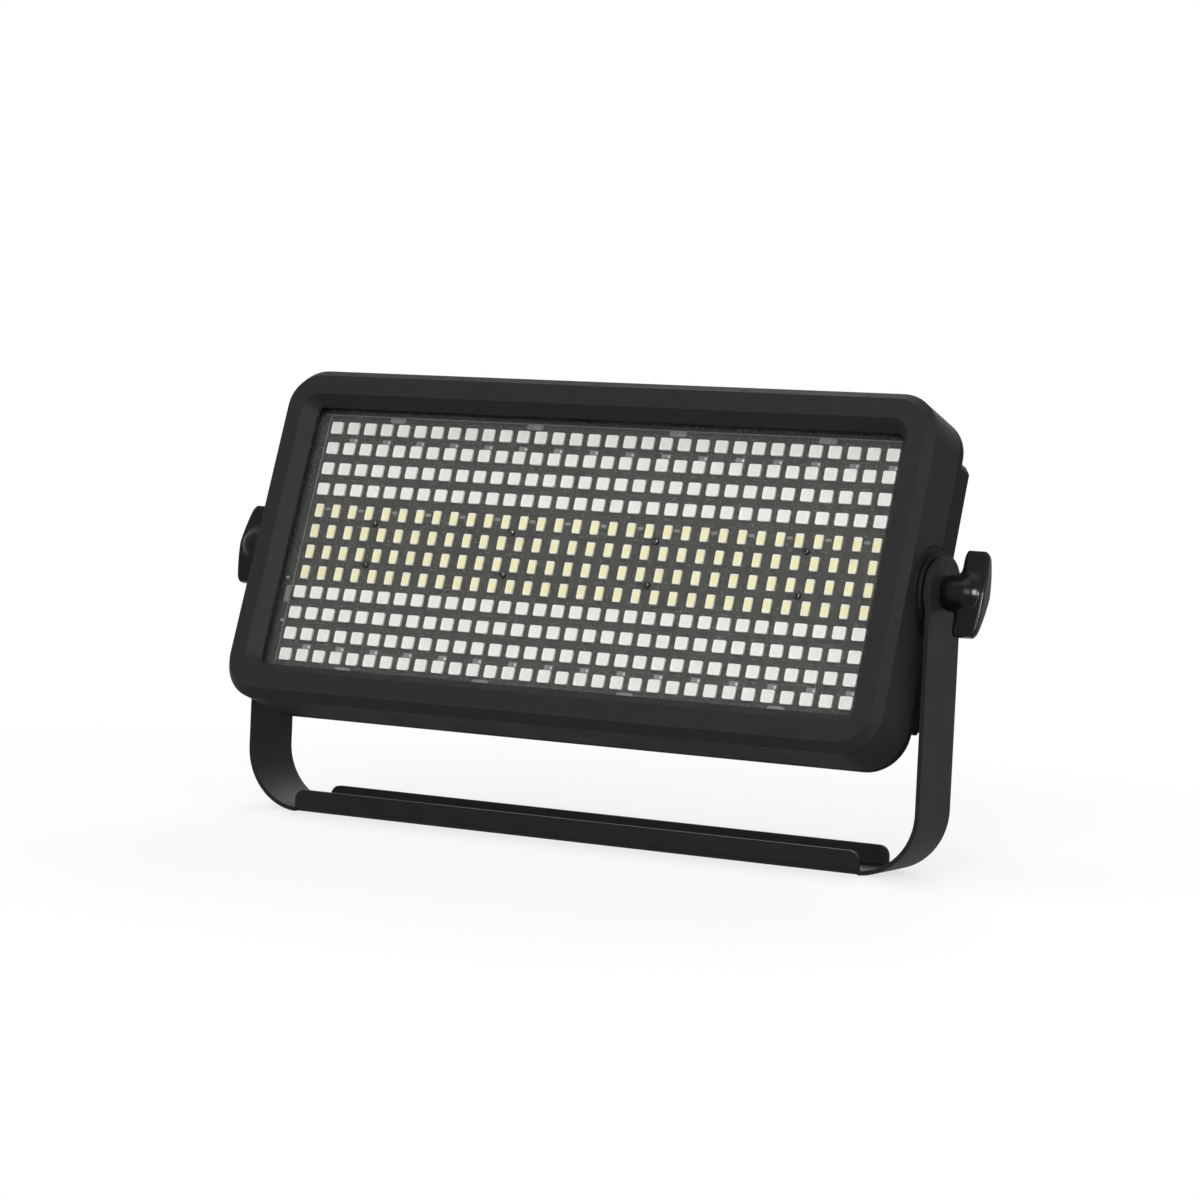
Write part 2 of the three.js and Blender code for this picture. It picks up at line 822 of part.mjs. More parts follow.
// The wing is deepest and thickest at the hub and thins towards both ends.
function wingGeometry() {
  const half = wingLength / 2;
  const rings = wingStationShares.map((share) => {
    const away = Math.abs(share);
    const tip = away === 1 ? wingTip : 0;
    const inner = wingRoot + wingRelief * away + tip / 2;
    const outer = wingOuter - wingArch * away ** 2 - tip;
    const thickness = THREE.MathUtils.lerp(wingMidThickness, wingEndThickness, away);
    const section = {
      halfWidth: (outer - inner) / 2,
      halfHeight: thickness / 2,
      radius: wingEdge,
      steps: 1,
    };
    return ring(section, share * half, (inner + outer) / 2);
  });
  return loft(rings).rotateX(Math.PI / 2);
}

// A winged knob moulded round its hub, with a blind bore for the stud.
function knob(sign) {
  const profile = [
    new THREE.Vector2(0, 0),
    new THREE.Vector2(hubRadius, 0),
    new THREE.Vector2(hubRadius, hubLength),
    new THREE.Vector2(hubNoseRadius, hubNoseEnd),
    new THREE.Vector2(0, hubNoseEnd),
  ];
  const hub = new THREE.LatheGeometry(profile, roundSides).rotateZ(-Math.PI / 2);
  const bore = rodAlongX(studRadius + slip, studInKnob + seat + overrun, screwSides * 2);
  move(bore, (studInKnob + seat - overrun) / 2, 0, 0);
  const made = shaped([hub, wingGeometry()], [bore]);
  move(made, bracketWidth / 2 + seat, 0, 0);
  return sign > 0 ? made : made.rotateZ(Math.PI);
}

// Fan: a square frame with a strutted hub and a seven-bladed rotor that turns about Y

const fanFrontY = innerBackY - seat - fanThickness;
const fanHubY = innerBackY - seat - fanHubDepth;

function fanFrame() {
  const centreY = fanFrontY + fanThickness / 2;
  const struts = [];
  for (let strut = 0; strut < strutCount; strut += 1) {
    const bar = block(fanBore + bite, fanHubDepth, strutWidth);
    move(bar, (fanBore + bite) / 2, 0, 0).rotateY((strut + 1 / 2) * (2 * Math.PI / strutCount));
    struts.push(move(bar, fanX, fanHubY + fanHubDepth / 2, 0));
  }
  const bored = shaped(
    [move(block(fanSize, fanThickness, fanSize), fanX, centreY, 0)],
    [move(rod(fanBore, fanThickness + 2 * overrun), fanX, centreY, 0)],
  );
  const hub = move(rod(fanHubRadius, fanHubDepth, screwSides * 2), fanX, fanHubY + fanHubDepth / 2, 0);
  return shaped(
    [bored, hub, ...struts],
    [
      move(rod(shaftRadius + slip, 2 * fanHubDepth, screwSides), fanX, fanHubY, 0),
      ...fanCorners.map(([x, z]) => move(rod(fanScrew.shank + slip, fanThickness * 2, screwSides), x, centreY, z)),
    ],
  );
}

function fanRotor() {
  const gap = 2 * seat;
  const centreY = fanHubY - gap - rotorDepth / 2;
  const shaftLength = shaftReach + gap + bite;
  const blades = [];
  for (let index = 0; index < bladeCount; index += 1) {
    const reach = bladeTip - fanHubRadius + 2 * bite;
    const blade = block(reach, bladeThickness, bladeDepth);
    blade.rotateX(THREE.MathUtils.degToRad(bladePitchDegrees));
    move(blade, bladeTip - reach / 2, 0, 0).rotateY(index * 2 * Math.PI / bladeCount);
    blades.push(move(blade, fanX, centreY, 0));
  }
  const shaft = rod(shaftRadius, shaftLength, screwSides);
  return shaped([
    move(rod(fanHubRadius, rotorDepth, screwSides * 2), fanX, centreY, 0),
    move(shaft, fanX, fanHubY - gap - bite + shaftLength / 2, 0),
    ...blades,
  ]);
}

// Sockets on the back

const flangeY = backY + seat;

function powerInlet() {
  const flange = {
    halfWidth: inletFlangeWidth / 2,
    halfHeight: inletFlangeHeight / 2,
    radius: inletRadius,
  };
  const faceEnd = flangeY + flangeThickness;
  const bodyDepth = inletBodyDepth + bite;
  const recessDepth = inletRecessDepth + overrun;
  const floorY = faceEnd - inletRecessDepth;
  const pin = (x, z) => {
    const length = pinLength + bite;
    return move(block(pinThickness, length, pinWidth), inletX + x, floorY - bite + length / 2, inletZ + z);
  };
  const cup = shaped(
    [
      slab(flange, flangeY, flangeThickness, inletX, inletZ),
      move(block(inletBodyWidth, bodyDepth, inletBodyHeight), inletX, flangeY + bite - bodyDepth / 2, inletZ),
    ],
    [move(block(inletRecessWidth, recessDepth, inletRecessHeight), inletX, floorY + recessDepth / 2, inletZ)],
  );
  const pinDrop = pinThickness;
  return shaped([cup, pin(-pinSpacing, -pinDrop), pin(pinSpacing, -pinDrop), pin(0, pinDrop)]);
}

function socketShell(x, cuts) {
  const flange = {
    halfWidth: socketFlangeWidth / 2,
    halfHeight: socketFlangeHeight / 2,
    radius: socketFlangeRadius,
  };
  const bodyDepth = socketBodyDepth + bite;
  const centreY = flangeY + flangeThickness / 2;
  return shaped(
    [
      slab(flange, flangeY, flangeThickness, x, signalZ),
      move(rod(socketBodyRadius, bodyDepth), x, flangeY + bite - bodyDepth / 2, signalZ),
    ],
    [
      ...socketScrewPlaces(x).map(([screwX, screwZ]) => (
        move(rod(socketScrew.shank + slip, flangeThickness + 2 * overrun, screwSides), screwX, centreY, screwZ)
      )),
      ...cuts,
    ],
  );
}

function contacts(x, frontY, length, radius) {
  return contactAngles.map((degrees) => {
    const angle = THREE.MathUtils.degToRad(degrees);
    return move(
      rod(radius, length, screwSides),
      x + contactCircle * Math.cos(angle),
      frontY + length / 2,
      signalZ + contactCircle * Math.sin(angle),
    );
  });
}

function signalInSocket() {
  const floorY = flangeY + flangeThickness - socketRecessDepth;
  const depth = socketRecessDepth + overrun;
  const recess = move(rod(socketRecessRadius, depth), signalInX, floorY + depth / 2, signalZ);
  const cup = socketShell(signalInX, [recess]);
  return shaped([cup, ...contacts(signalInX, floorY - bite, contactLength + bite, contactRadius)]);
}

function signalOutSocket() {
  const floorY = flangeY + flangeThickness - socketRecessDepth;
  const depth = socketRecessDepth + overrun;
  const groove = shaped(
    [move(rod(socketRecessRadius, depth, plugSides), signalOutX, floorY + depth / 2, signalZ)],
    [move(rod(plugCoreRadius, depth + 2 * overrun, plugSides), signalOutX, floorY + depth / 2, signalZ)],
  );
  return socketShell(signalOutX, [groove, ...contacts(signalOutX, floorY, depth, contactRadius)]);
}

// Control panel: a display and four push buttons on the board behind the back wall

const controlBoardY = innerBackY - controlBoardDepth;
const switchTopY = innerBackY - buttonCollar - seat - buttonTail - buttonFreePlay;

function controlBoard() {
  const topY = controlBoardY + innerBoardThickness;
  const displayTopY = backY - displayThickness - seat;
  const displayDepth = displayTopY - topY + bite;
  const switchDepth = switchTopY - topY + bite;
  return shaped([
    move(
      block(controlBoardWidth, innerBoardThickness, controlBoardHeight),
      panelX,
      controlBoardY + innerBoardThickness / 2,
      controlBoardZ,
    ),
    move(
      block(displayWidth - 2 * displayLedge, displayDepth, displayHeight - 2 * displayLedge),
      panelX,
      topY - bite + displayDepth / 2,
      displayZ,
    ),
    ...buttonXs.map((x) => (
      move(block(switchSize, switchDepth, switchSize), x, topY - bite + switchDepth / 2, buttonZ)
    )),
  ]);
}

function displayWindow() {
  const pane = {
    halfWidth: displayWidth / 2,
    halfHeight: displayHeight / 2,
    radius: displayRadius,
  };
  return slab(pane, backY - displayThickness, displayThickness, panelX, displayZ);
}

// A cap with a collar that keeps it behind the wall and a tail that presses the switch.
function menuButton(x) {
  const collarY = innerBackY - seat - buttonCollar;
  const tailY = collarY - buttonTail;
  const capEndY = backY + buttonProud;
  const profile = [
    new THREE.Vector2(0, tailY),
    new THREE.Vector2(buttonRadius, tailY),
    new THREE.Vector2(buttonRadius, collarY),
    new THREE.Vector2(buttonCollarRadius, collarY),
    new THREE.Vector2(buttonCollarRadius, collarY + buttonCollar),
    new THREE.Vector2(buttonRadius, collarY + buttonCollar),
    new THREE.Vector2(buttonRadius, capEndY),
    new THREE.Vector2(0, capEndY),
  ];
  return move(new THREE.LatheGeometry(profile, screwSides * 2), x, 0, buttonZ);
}

// Boards that lie on the tips of the fins

function boardWithParts(x, width, height, tallest, partShares) {
  const frontY = innerBoardY;
  const topY = frontY + innerBoardThickness;
  return shaped([
    move(block(width, innerBoardThickness, height), x, frontY + innerBoardThickness / 2, 0),
    ...partShares.map(({ place: [placeX, placeZ], size: [sizeX, sizeY, sizeZ] }) => (
      move(
        block(sizeX * width, sizeY * tallest + bite, sizeZ * height),
        x + placeX * width,
        topY + (sizeY * tallest - bite) / 2,
        placeZ * height,
      )
    )),
  ]);
}

// Each part's place and its size, as shares of the board's width and height and of the tallest part.
const supplyPartShares = [
  { place: [-0.2, 0.16], size: [0.38, 1, 0.33] },
  { place: [0.22, 0.3], size: [0.28, 0.88, 0.22] },
  { place: [0.26, 0.02], size: [0.21, 0.88, 0.17] },
  { place: [-0.2, 0.4], size: [0.34, 0.53, 0.11] },
  { place: [0.3, -0.3], size: [0.16, 0.7, 0.28] },
];
const driverPartShares = [
  { place: [-0.28, 0.34], size: [0.21, 1, 0.19] },
  { place: [0.05, 0.34], size: [0.21, 1, 0.19] },
  { place: [0.34, 0.1], size: [0.15, 0.8, 0.26] },
  { place: [-0.2, -0.02], size: [0.16, 0.6, 0.14] },
  { place: [0, -0.44], size: [0.65, 1, 0.09] },
];

// Safety eye: a bent steel tab with a hole for the safety wire

function safetyEye() {
  const tabZ = eyeZ + eyeFootHeight - eyePlate;
  const foot = move(block(eyeWidth, eyePlate, eyeFootHeight), eyeX, flangeY + eyePlate / 2, eyeZ + eyeFootHeight / 2);
  const tab = move(block(eyeWidth, eyeReach, eyePlate), eyeX, flangeY + eyeReach / 2, tabZ + eyePlate / 2);
  const holeY = flangeY + eyeReach - eyePlate - eyeHoleRadius;
  return shaped(
    [foot, tab],
    [
      move(rodAlongZ(eyeHoleRadius, eyePlate + 2 * overrun), eyeX, holeY, tabZ + eyePlate / 2),
      ...eyeScrewPlaces.map(([x, z]) => (
        move(rod(eyeScrew.shank + slip, eyePlate + 2 * overrun, screwSides), x, flangeY + eyePlate / 2, z)
      )),
    ],
  );
}

// Assembly

const strobe = new THREE.Group();
const light = new THREE.Group();
strobe.add(light);

piece(light, 'bracket_left', bracket(-bracketWidth, -clampHalfLength), powderCoat);
piece(light, 'bracket_middle', bracket(-clampHalfLength, clampHalfLength), powderCoat);
piece(light, 'bracket_right', bracket(clampHalfLength, bracketWidth), powderCoat);

const head = new THREE.Group();
head.position.z = pivotHeight;
head.rotation.x = -THREE.MathUtils.degToRad(restTiltDegrees);
light.add(head);

piece(head, 'front_frame', frontFrame(), housingPlastic);
piece(head, 'window_gasket', windowGasket(), blackRubber);
piece(head, 'window', windowPane(), clearWindow);
piece(head, 'led_board', ledBoard(), circuitBoard);
piece(head, 'heat_sink', heatSink(), aluminium);
piece(head, 'rear_housing', rearHousing(), housingPlastic);

boardScrewPlaces.forEach(([x, z], index) => {
  const screw = screwGeometry(boardScrew).rotateX(Math.PI);
  piece(head, `board_screw_${index + 1}`, move(screw, x, boardY - seat, z), blackSteel);
});
sinkPosts.forEach(([x, z], index) => {
  screwFromBehind(head, `heat_sink_screw_${index + 1}`, sinkScrew, x, finRootY + seat, z);
});
casePosts.forEach(([x, z], index) => {
  screwFromBehind(head, `case_screw_${index + 1}`, smallScrew, x, waistY + seat, z);
});

[['left', -1], ['right', 1]].forEach(([label, sign]) => {
  piece(head, `pivot_insert_${label}`, pivotInsert(sign), brass);
  piece(head, `friction_washer_${label}`, frictionWasher(sign), blackRubber);
  piece(head, `knob_${label}`, knob(sign), knobPlastic);
  piece(head, `knob_stud_${label}`, knobStud(sign), zincSteel);
});

piece(head, 'fan_frame', fanFrame(), knobPlastic);
piece(head, 'fan_rotor', fanRotor(), knobPlastic);
fanCorners.forEach(([x, z], index) => {
  screwFromBehind(head, `fan_screw_${index + 1}`, fanScrew, x, backY + seat, z);
});

const supply = boardWithParts(supplyX, supplyWidth, supplyHeight, supplyTallestPart, supplyPartShares);
piece(head, 'power_supply', supply, greenBoard);
const driver = boardWithParts(driverX, driverWidth, driverHeight, driverTallestPart, driverPartShares);
piece(head, 'led_driver', driver, greenBoard);
piece(head, 'control_board', controlBoard(), greenBoard);
piece(head, 'display_window', displayWindow(), smokedPlastic);
buttonXs.forEach((x, index) => {
  piece(head, `menu_button_${index + 1}`, menuButton(x), knobPlastic);
});

piece(head, 'power_inlet', powerInlet(), knobPlastic);
piece(head, 'signal_in_socket', signalInSocket(), blackSteel);
piece(head, 'signal_out_socket', signalOutSocket(), blackSteel);
[['in', signalInX], ['out', signalOutX]].forEach(([label, socketX]) => {
  socketScrewPlaces(socketX).forEach(([x, z], index) => {
    const name = `signal_${label}_screw_${index + 1}`;
    screwFromBehind(head, name, socketScrew, x, flangeY + flangeThickness + seat, z);
  });
});

piece(head, 'safety_eye', safetyEye(), zincSteel);
eyeScrewPlaces.forEach(([x, z], index) => {
  screwFromBehind(head, `safety_eye_screw_${index + 1}`, eyeScrew, x, flangeY + eyePlate + seat, z);
});

const extent = new THREE.Box3().setFromObject(light, true);
light.position.y = -(extent.min.y + extent.max.y) / 2;

export default strobe;
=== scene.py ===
import json
import math

import bmesh
import bpy
from mathutils import Matrix, Vector

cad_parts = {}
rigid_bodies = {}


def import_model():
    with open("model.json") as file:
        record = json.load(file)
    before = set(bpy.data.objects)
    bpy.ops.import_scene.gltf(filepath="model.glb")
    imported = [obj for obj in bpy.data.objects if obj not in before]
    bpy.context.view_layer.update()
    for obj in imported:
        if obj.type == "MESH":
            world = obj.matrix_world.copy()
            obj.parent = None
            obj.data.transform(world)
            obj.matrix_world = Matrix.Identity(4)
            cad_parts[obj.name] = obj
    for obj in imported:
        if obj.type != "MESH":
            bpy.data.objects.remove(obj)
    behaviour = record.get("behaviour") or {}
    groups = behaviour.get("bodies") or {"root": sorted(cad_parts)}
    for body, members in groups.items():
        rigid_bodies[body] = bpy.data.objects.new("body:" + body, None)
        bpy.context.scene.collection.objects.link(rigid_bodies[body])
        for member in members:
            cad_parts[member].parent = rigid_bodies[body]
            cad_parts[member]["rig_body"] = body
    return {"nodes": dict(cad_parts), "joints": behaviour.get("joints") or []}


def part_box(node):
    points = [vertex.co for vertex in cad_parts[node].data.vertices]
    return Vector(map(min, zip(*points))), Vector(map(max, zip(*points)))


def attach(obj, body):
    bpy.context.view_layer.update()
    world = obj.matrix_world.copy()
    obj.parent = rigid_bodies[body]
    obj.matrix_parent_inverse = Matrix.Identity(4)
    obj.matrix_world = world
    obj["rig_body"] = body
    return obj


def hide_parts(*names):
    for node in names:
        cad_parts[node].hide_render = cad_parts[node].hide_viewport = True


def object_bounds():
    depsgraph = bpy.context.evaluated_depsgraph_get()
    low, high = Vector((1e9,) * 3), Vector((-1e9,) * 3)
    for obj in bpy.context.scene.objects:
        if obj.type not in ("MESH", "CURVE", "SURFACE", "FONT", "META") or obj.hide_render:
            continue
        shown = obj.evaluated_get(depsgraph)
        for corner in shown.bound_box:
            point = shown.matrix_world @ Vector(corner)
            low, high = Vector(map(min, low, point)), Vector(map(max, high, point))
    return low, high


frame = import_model()
cad_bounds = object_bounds()

# Camera: at the photographer's place, in front and to the right of the strobe, a little lower
# than the top of its head. It looks down by less than three degrees and is rolled slightly.
camera_place = Vector((0.5948, -1.0457, 0.1417))
camera_turn = math.radians(29.73)
camera_dip = math.radians(2.877)
camera_roll = math.radians(2.64)
camera_lens = 105.8
camera_sensor = 36
camera_near = 0.01

camera = bpy.data.objects.new("camera", bpy.data.cameras.new("camera"))
camera.data.lens = camera_lens
camera.data.sensor_width = camera_sensor
camera.data.clip_start = camera_near
camera.matrix_world = (
    Matrix.Translation(camera_place)
    @ Matrix.Rotation(camera_turn, 4, "Z")
    @ Matrix.Rotation(math.pi / 2 - camera_dip, 4, "X")
    @ Matrix.Rotation(camera_roll, 4, "Z")
)
bpy.context.scene.collection.objects.link(camera)
bpy.context.scene.camera = camera


# Studio: a pale floor under soft boxes, in front of a white backdrop that is the world's own
# colour. Rays from the camera and reflections see white; the light on the strobe is lower.
floor_reach = 6
floor_colour = (0.32, 0.32, 0.32, 1)
floor_roughness = 0.9
floor_specular = 0.1
floor_glow = 0.7
floor_shadow_reach = 0.16
floor_white_from = 0.5
white = (1, 1, 1, 1)
backdrop_strength = 1
fill_strength = 0.2
seeing_rays = ("Is Camera Ray", "Is Glossy Ray", "Is Transmission Ray")
soft_boxes = {
    "key_light": {"place": (0.6, -1.85, 0.8), "size": 1.0, "power": 27},
    "top_light": {"place": (-0.2, -0.4, 1.7), "size": 1.2, "power": 8},
    "rear_light": {"place": (-0.4, 1.8, 1.2), "size": 1.2, "power": 15},
    "glint_light": {"place": (1.6, -0.85, 0.6), "size": 0.8, "power": 110, "glints_only": True},
}


def new_material(name):
    material = bpy.data.materials.new(name)
    material.use_nodes = True
    return material, material.node_tree


def set_inputs(tree, node, inputs):
    """Joins each input, named or numbered, to the socket that is given, or sets its value."""
    for key, value in inputs.items():
        if isinstance(value, bpy.types.NodeSocket):
            tree.links.new(value, node.inputs[key])
        else:
            node.inputs[key].default_value = value


def add_node(tree, kind, inputs, **settings):
    node = tree.nodes.new(kind)
    for name, value in settings.items():
        setattr(node, name, value)
    set_inputs(tree, node, inputs)
    return node


def any_ray(tree, rays):
    """One for rays of the named kinds, nought for all others."""
    path = tree.nodes.new("ShaderNodeLightPath")
    factor = path.outputs[rays[0]]
    for ray in rays[1:]:
        pair = {0: factor, 1: path.outputs[ray]}
        factor = add_node(tree, "ShaderNodeMath", pair, operation="MAXIMUM").outputs[0]
    return factor


def mix_shaders(tree, factor, first, second):
    """The first shader where the factor is nought, the second where it is one."""
    shaders = {0: factor, 1: first.outputs[0], 2: second.outputs[0]}
    return add_node(tree, "ShaderNodeMixShader", shaders)


def build_floor():
    """Paper that keeps the strobe's shadow and goes over into the white backdrop further out."""
    mesh = bpy.data.meshes.new("floor")
    corners = [(-1, -1), (1, -1), (1, 1), (-1, 1)]
    points = [(x * floor_reach, y * floor_reach, 0) for x, y in corners]
    mesh.from_pydata(points, [], [(0, 1, 2, 3)])
    floor = bpy.data.objects.new("floor", mesh)
    bpy.context.scene.collection.objects.link(floor)
    material, tree = new_material("floor_paper")
    paper = tree.nodes["Principled BSDF"]
    set_inputs(tree, paper, {
        "Base Color": floor_colour,
        "Roughness": floor_roughness,
        "Specular IOR Level": floor_specular,
    })
    glow = add_node(tree, "ShaderNodeEmission", {"Strength": floor_glow})
    near = add_node(tree, "ShaderNodeAddShader", {0: paper.outputs[0], 1: glow.outputs[0]})
    far = add_node(tree, "ShaderNodeEmission", {"Strength": backdrop_strength})
    place = tree.nodes.new("ShaderNodeTexCoord").outputs["Object"]
    distance = add_node(tree, "ShaderNodeVectorMath", {0: place}, operation="LENGTH")
    reach = {
        "Value": distance.outputs["Value"],
        "From Min": floor_shadow_reach,
        "From Max": floor_white_from,
    }
    outward = add_node(tree, "ShaderNodeMapRange", reach, interpolation_type="SMOOTHSTEP")
    shown = mix_shaders(tree, outward.outputs[0], near, far)
    seen = mix_shaders(tree, any_ray(tree, seeing_rays), paper, shown)
    set_inputs(tree, tree.nodes["Material Output"], {"Surface": seen.outputs[0]})
    mesh.materials.append(material)


def build_world():
    world = bpy.data.worlds.new("studio")
    bpy.context.scene.world = world
    world.use_nodes = True
    tree = world.node_tree
    fill = tree.nodes["Background"]
    backdrop = tree.nodes.new("ShaderNodeBackground")
    set_inputs(tree, fill, {"Color": white, "Strength": fill_strength})
    set_inputs(tree, backdrop, {"Color": white, "Strength": backdrop_strength})
    seen = mix_shaders(tree, any_ray(tree, seeing_rays), fill, backdrop)
    set_inputs(tree, tree.nodes["World Output"], {"Surface": seen.outputs[0]})


def build_soft_box(name, place, size, power, glints_only=False):
    """A square lamp aimed at the strobe; one for glints only shows in gloss and lights nothing."""
    lamp = bpy.data.lights.new(name, "AREA")
    lamp.shape = "SQUARE"
    lamp.size = size
    lamp.energy = power
    box = bpy.data.objects.new(name, lamp)
    aim = (Vector((0, 0, cad_bounds[1][2] / 2)) - Vector(place)).to_track_quat("-Z", "Y")
    box.matrix_world = Matrix.Translation(place) @ aim.to_matrix().to_4x4()
    box.visible_diffuse = not glints_only
    bpy.context.scene.collection.objects.link(box)


build_floor()
build_world()
for soft_box_name, soft_box in soft_boxes.items():
    build_soft_box(soft_box_name, **soft_box)
bpy.context.scene.view_settings.view_transform = "Standard"


# Bracket: 1.5 mm steel strap bent into a U, its base edges turned up as stiffening flanges.
# It is cut and bent in one piece and powder coated satin black, with the coat's fine orange peel.
strap_nodes = ("bracket_left", "bracket_middle", "bracket_right")
strap_boxes = [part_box(node) for node in strap_nodes]
strap_low = Vector([min(low[k] for low, high in strap_boxes) for k in range(3)])
strap_high = Vector([max(high[k] for low, high in strap_boxes) for k in range(3)])
strap_middle_y = (strap_low.y + strap_high.y) / 2
strap_half_width = (strap_high.y - strap_low.y) / 2
strap_gauge = 0.0015
strap_bend_radius = 0.0215
bend_steps = 20
flange_half_length = 0.110
flange_height = 0.0078
flange_corner = 0.0035
channel_outer_radius = 0.0024
channel_steps = 6
arm_hole_radius = 0.0033
clamp_hole_radius = 0.0055
hole_sides = 48
cutter_overrun = 0.001
coat_edge = 0.0003
merge_distance = 1e-6
flat_angle = math.radians(0.6)
edge_angle = math.radians(28)
bump_detail = 3
mottle_coarseness = 12
mottle_detail = 4
mottle_spread = (0.35, 0.65)
smudge_coarseness = 40
smudge_detail = 5
smudge_breakup = 0.6
smudge_spread = (0.3, 0.7)
speck_fineness = 1.7
speck_blend = 0.02


def add_piece(name, mesh):
    piece = bpy.data.objects.new(name, mesh)
    bpy.context.scene.collection.objects.link(piece)
    return piece


def mesh_from(name, points, faces):
    mesh = bpy.data.meshes.new(name)
    work = bmesh.new()
    corners = [work.verts.new(point) for point in points]
    for face in faces:
        work.faces.new([corners[index] for index in face])
    bmesh.ops.remove_doubles(work, verts=work.verts, dist=merge_distance)
    bmesh.ops.recalc_face_normals(work, faces=work.faces)
    work.to_mesh(mesh)
    work.free()
    return mesh


def lofted(name, rings, closed_section=False):
    """A mesh through rings of equal length, with capped ends unless the section is closed."""
    count = len(rings[0])
    faces = []
    for link in range(len(rings) if closed_section else len(rings) - 1):
        near = link * count
        far = (link + 1) % len(rings) * count
        for point in range(count):
            following = (point + 1) % count
            faces.append((near + point, far + point, far + following, near + following))
    if not closed_section:
        faces.append(tuple(range(count)))
        faces.append(tuple(range(count * len(rings) - 1, count * (len(rings) - 1) - 1, -1)))
    return mesh_from(name, [point for ring in rings for point in ring], faces)


def bar_along(axis, radius, length, sides=hole_sides):
    """A round bar centred on the origin, for cutting holes and for posts."""
    mesh = bpy.data.meshes.new("bar")
    work = bmesh.new()
    bmesh.ops.create_cone(
        work, cap_ends=True, segments=sides, radius1=radius, radius2=radius, depth=length
    )
    work.to_mesh(mesh)
    work.free()
    turn = Vector((0, 0, 1)).rotation_difference(Vector(axis)).to_matrix().to_4x4()
    mesh.transform(turn)
    return mesh


def box_mesh(size, centre=(0, 0, 0)):
    mesh = bpy.data.meshes.new("block")
    work = bmesh.new()
    bmesh.ops.create_cube(work, size=1)
    bmesh.ops.scale(work, verts=work.verts, vec=size)
    bmesh.ops.translate(work, verts=work.verts, vec=centre)
    work.to_mesh(mesh)
    work.free()
    return mesh


def moved(mesh, x=0, y=0, z=0):
    mesh.transform(Matrix.Translation((x, y, z)))
    return mesh


def bake_modifiers(piece):
    """Turns what the modifiers make into the piece's plain mesh."""
    bpy.context.view_layer.update()
    evaluated = piece.evaluated_get(bpy.context.evaluated_depsgraph_get())
    mesh = bpy.data.meshes.new_from_object(evaluated)
    piece.modifiers.clear()
    piece.data = mesh


def combine(piece, meshes, operation):
    """Joins the meshes to the piece, or cuts them out of it, one after the other."""
    tools = [add_piece("tool", mesh) for mesh in meshes]
    for tool in tools:
        step = piece.modifiers.new(operation, "BOOLEAN")
        step.operation = operation
        step.solver = "EXACT"
        step.object = tool
    bake_modifiers(piece)
    for tool in tools:
        bpy.data.objects.remove(tool)


def round_edges(piece, width, segments=2):
    """Clears cut lines from flat faces, rounds the real edges a little, smooths the shading."""
    work = bmesh.new()
    work.from_mesh(piece.data)
    bmesh.ops.remove_doubles(work, verts=work.verts, dist=merge_distance)
    bmesh.ops.dissolve_limit(work, angle_limit=flat_angle, verts=work.verts, edges=work.edges)
    for face in work.faces:
        face.smooth = True
    work.to_mesh(piece.data)
    work.free()
    bevel = piece.modifiers.new("edges", "BEVEL")
    bevel.width = width
    bevel.segments = segments
    bevel.limit_method = "ANGLE"
    bevel.angle_limit = edge_angle
    shading = piece.modifiers.new("shading", "WEIGHTED_NORMAL")
    shading.keep_sharp = True
    bake_modifiers(piece)


def arc(steps, first=0, last=1):
    """Cosine and sine at even steps, from the first to the last of so many quarter turns."""
    pairs = []
    for step in range(steps + 1):
        angle = math.pi / 2 * (first + (last - first) * step / steps)
        pairs.append((math.cos(angle), math.sin(angle)))
    return pairs


def across(outline, half_width):
    """Rings of an outline's x and z on both sides of the strap's middle."""
    return [[(x, strap_middle_y + side * half_width, z) for x, z in outline] for side in (-1, 1)]


def along(outline, half_length):
    """Rings of an outline's y and z at both ends of a length."""
    return [[(side * half_length, strap_middle_y + y, z) for y, z in outline] for side in (-1, 1)]


def strap_mesh():
    centre_x = strap_high.x - strap_bend_radius

    def edge(offset):
        radius = strap_bend_radius - offset
        right = [(strap_high.x - offset, strap_high.z)]
        for cosine, sine in arc(bend_steps):
            right.append((centre_x + radius * cosine, strap_bend_radius - radius * sine))
        return right + [(-x, z) for x, z in reversed(right)]

    outline = edge(0) + list(reversed(edge(strap_gauge)))
    return lofted("bracket", across(outline, strap_half_width))


def channel_mesh():
    """The base between the bends: strap and flanges as one channel with round lower edges."""

    def half_section(offset):
        edge = strap_half_width - offset
        radius = channel_outer_radius - offset
        points = [(edge, flange_height)]
        for cosine, sine in arc(channel_steps):
            points.append((edge - radius * (1 - cosine), offset + radius * (1 - sine)))
        return points

    outer, inner = half_section(0), half_section(strap_gauge)
    outline = outer + [(-y, z) for y, z in outer[::-1] + inner] + inner[::-1]
    return lofted("channel", along(outline, flange_half_length))


def arm_end_cutter():
    """What lies above the round ends of both arms."""
    reach = strap_half_width + cutter_overrun
    outline = [(reach, 0), (reach, reach), (-reach, reach), (-reach, 0)]
    for cosine, sine in arc(2 * bend_steps, 2, 0):
        outline.append((strap_half_width * cosine, strap_half_width * sine))
    outline = [(y, strap_high.z - strap_half_width + z) for y, z in outline]
    return lofted("arm_end_cutter", along(outline, strap_high.x + cutter_overrun))


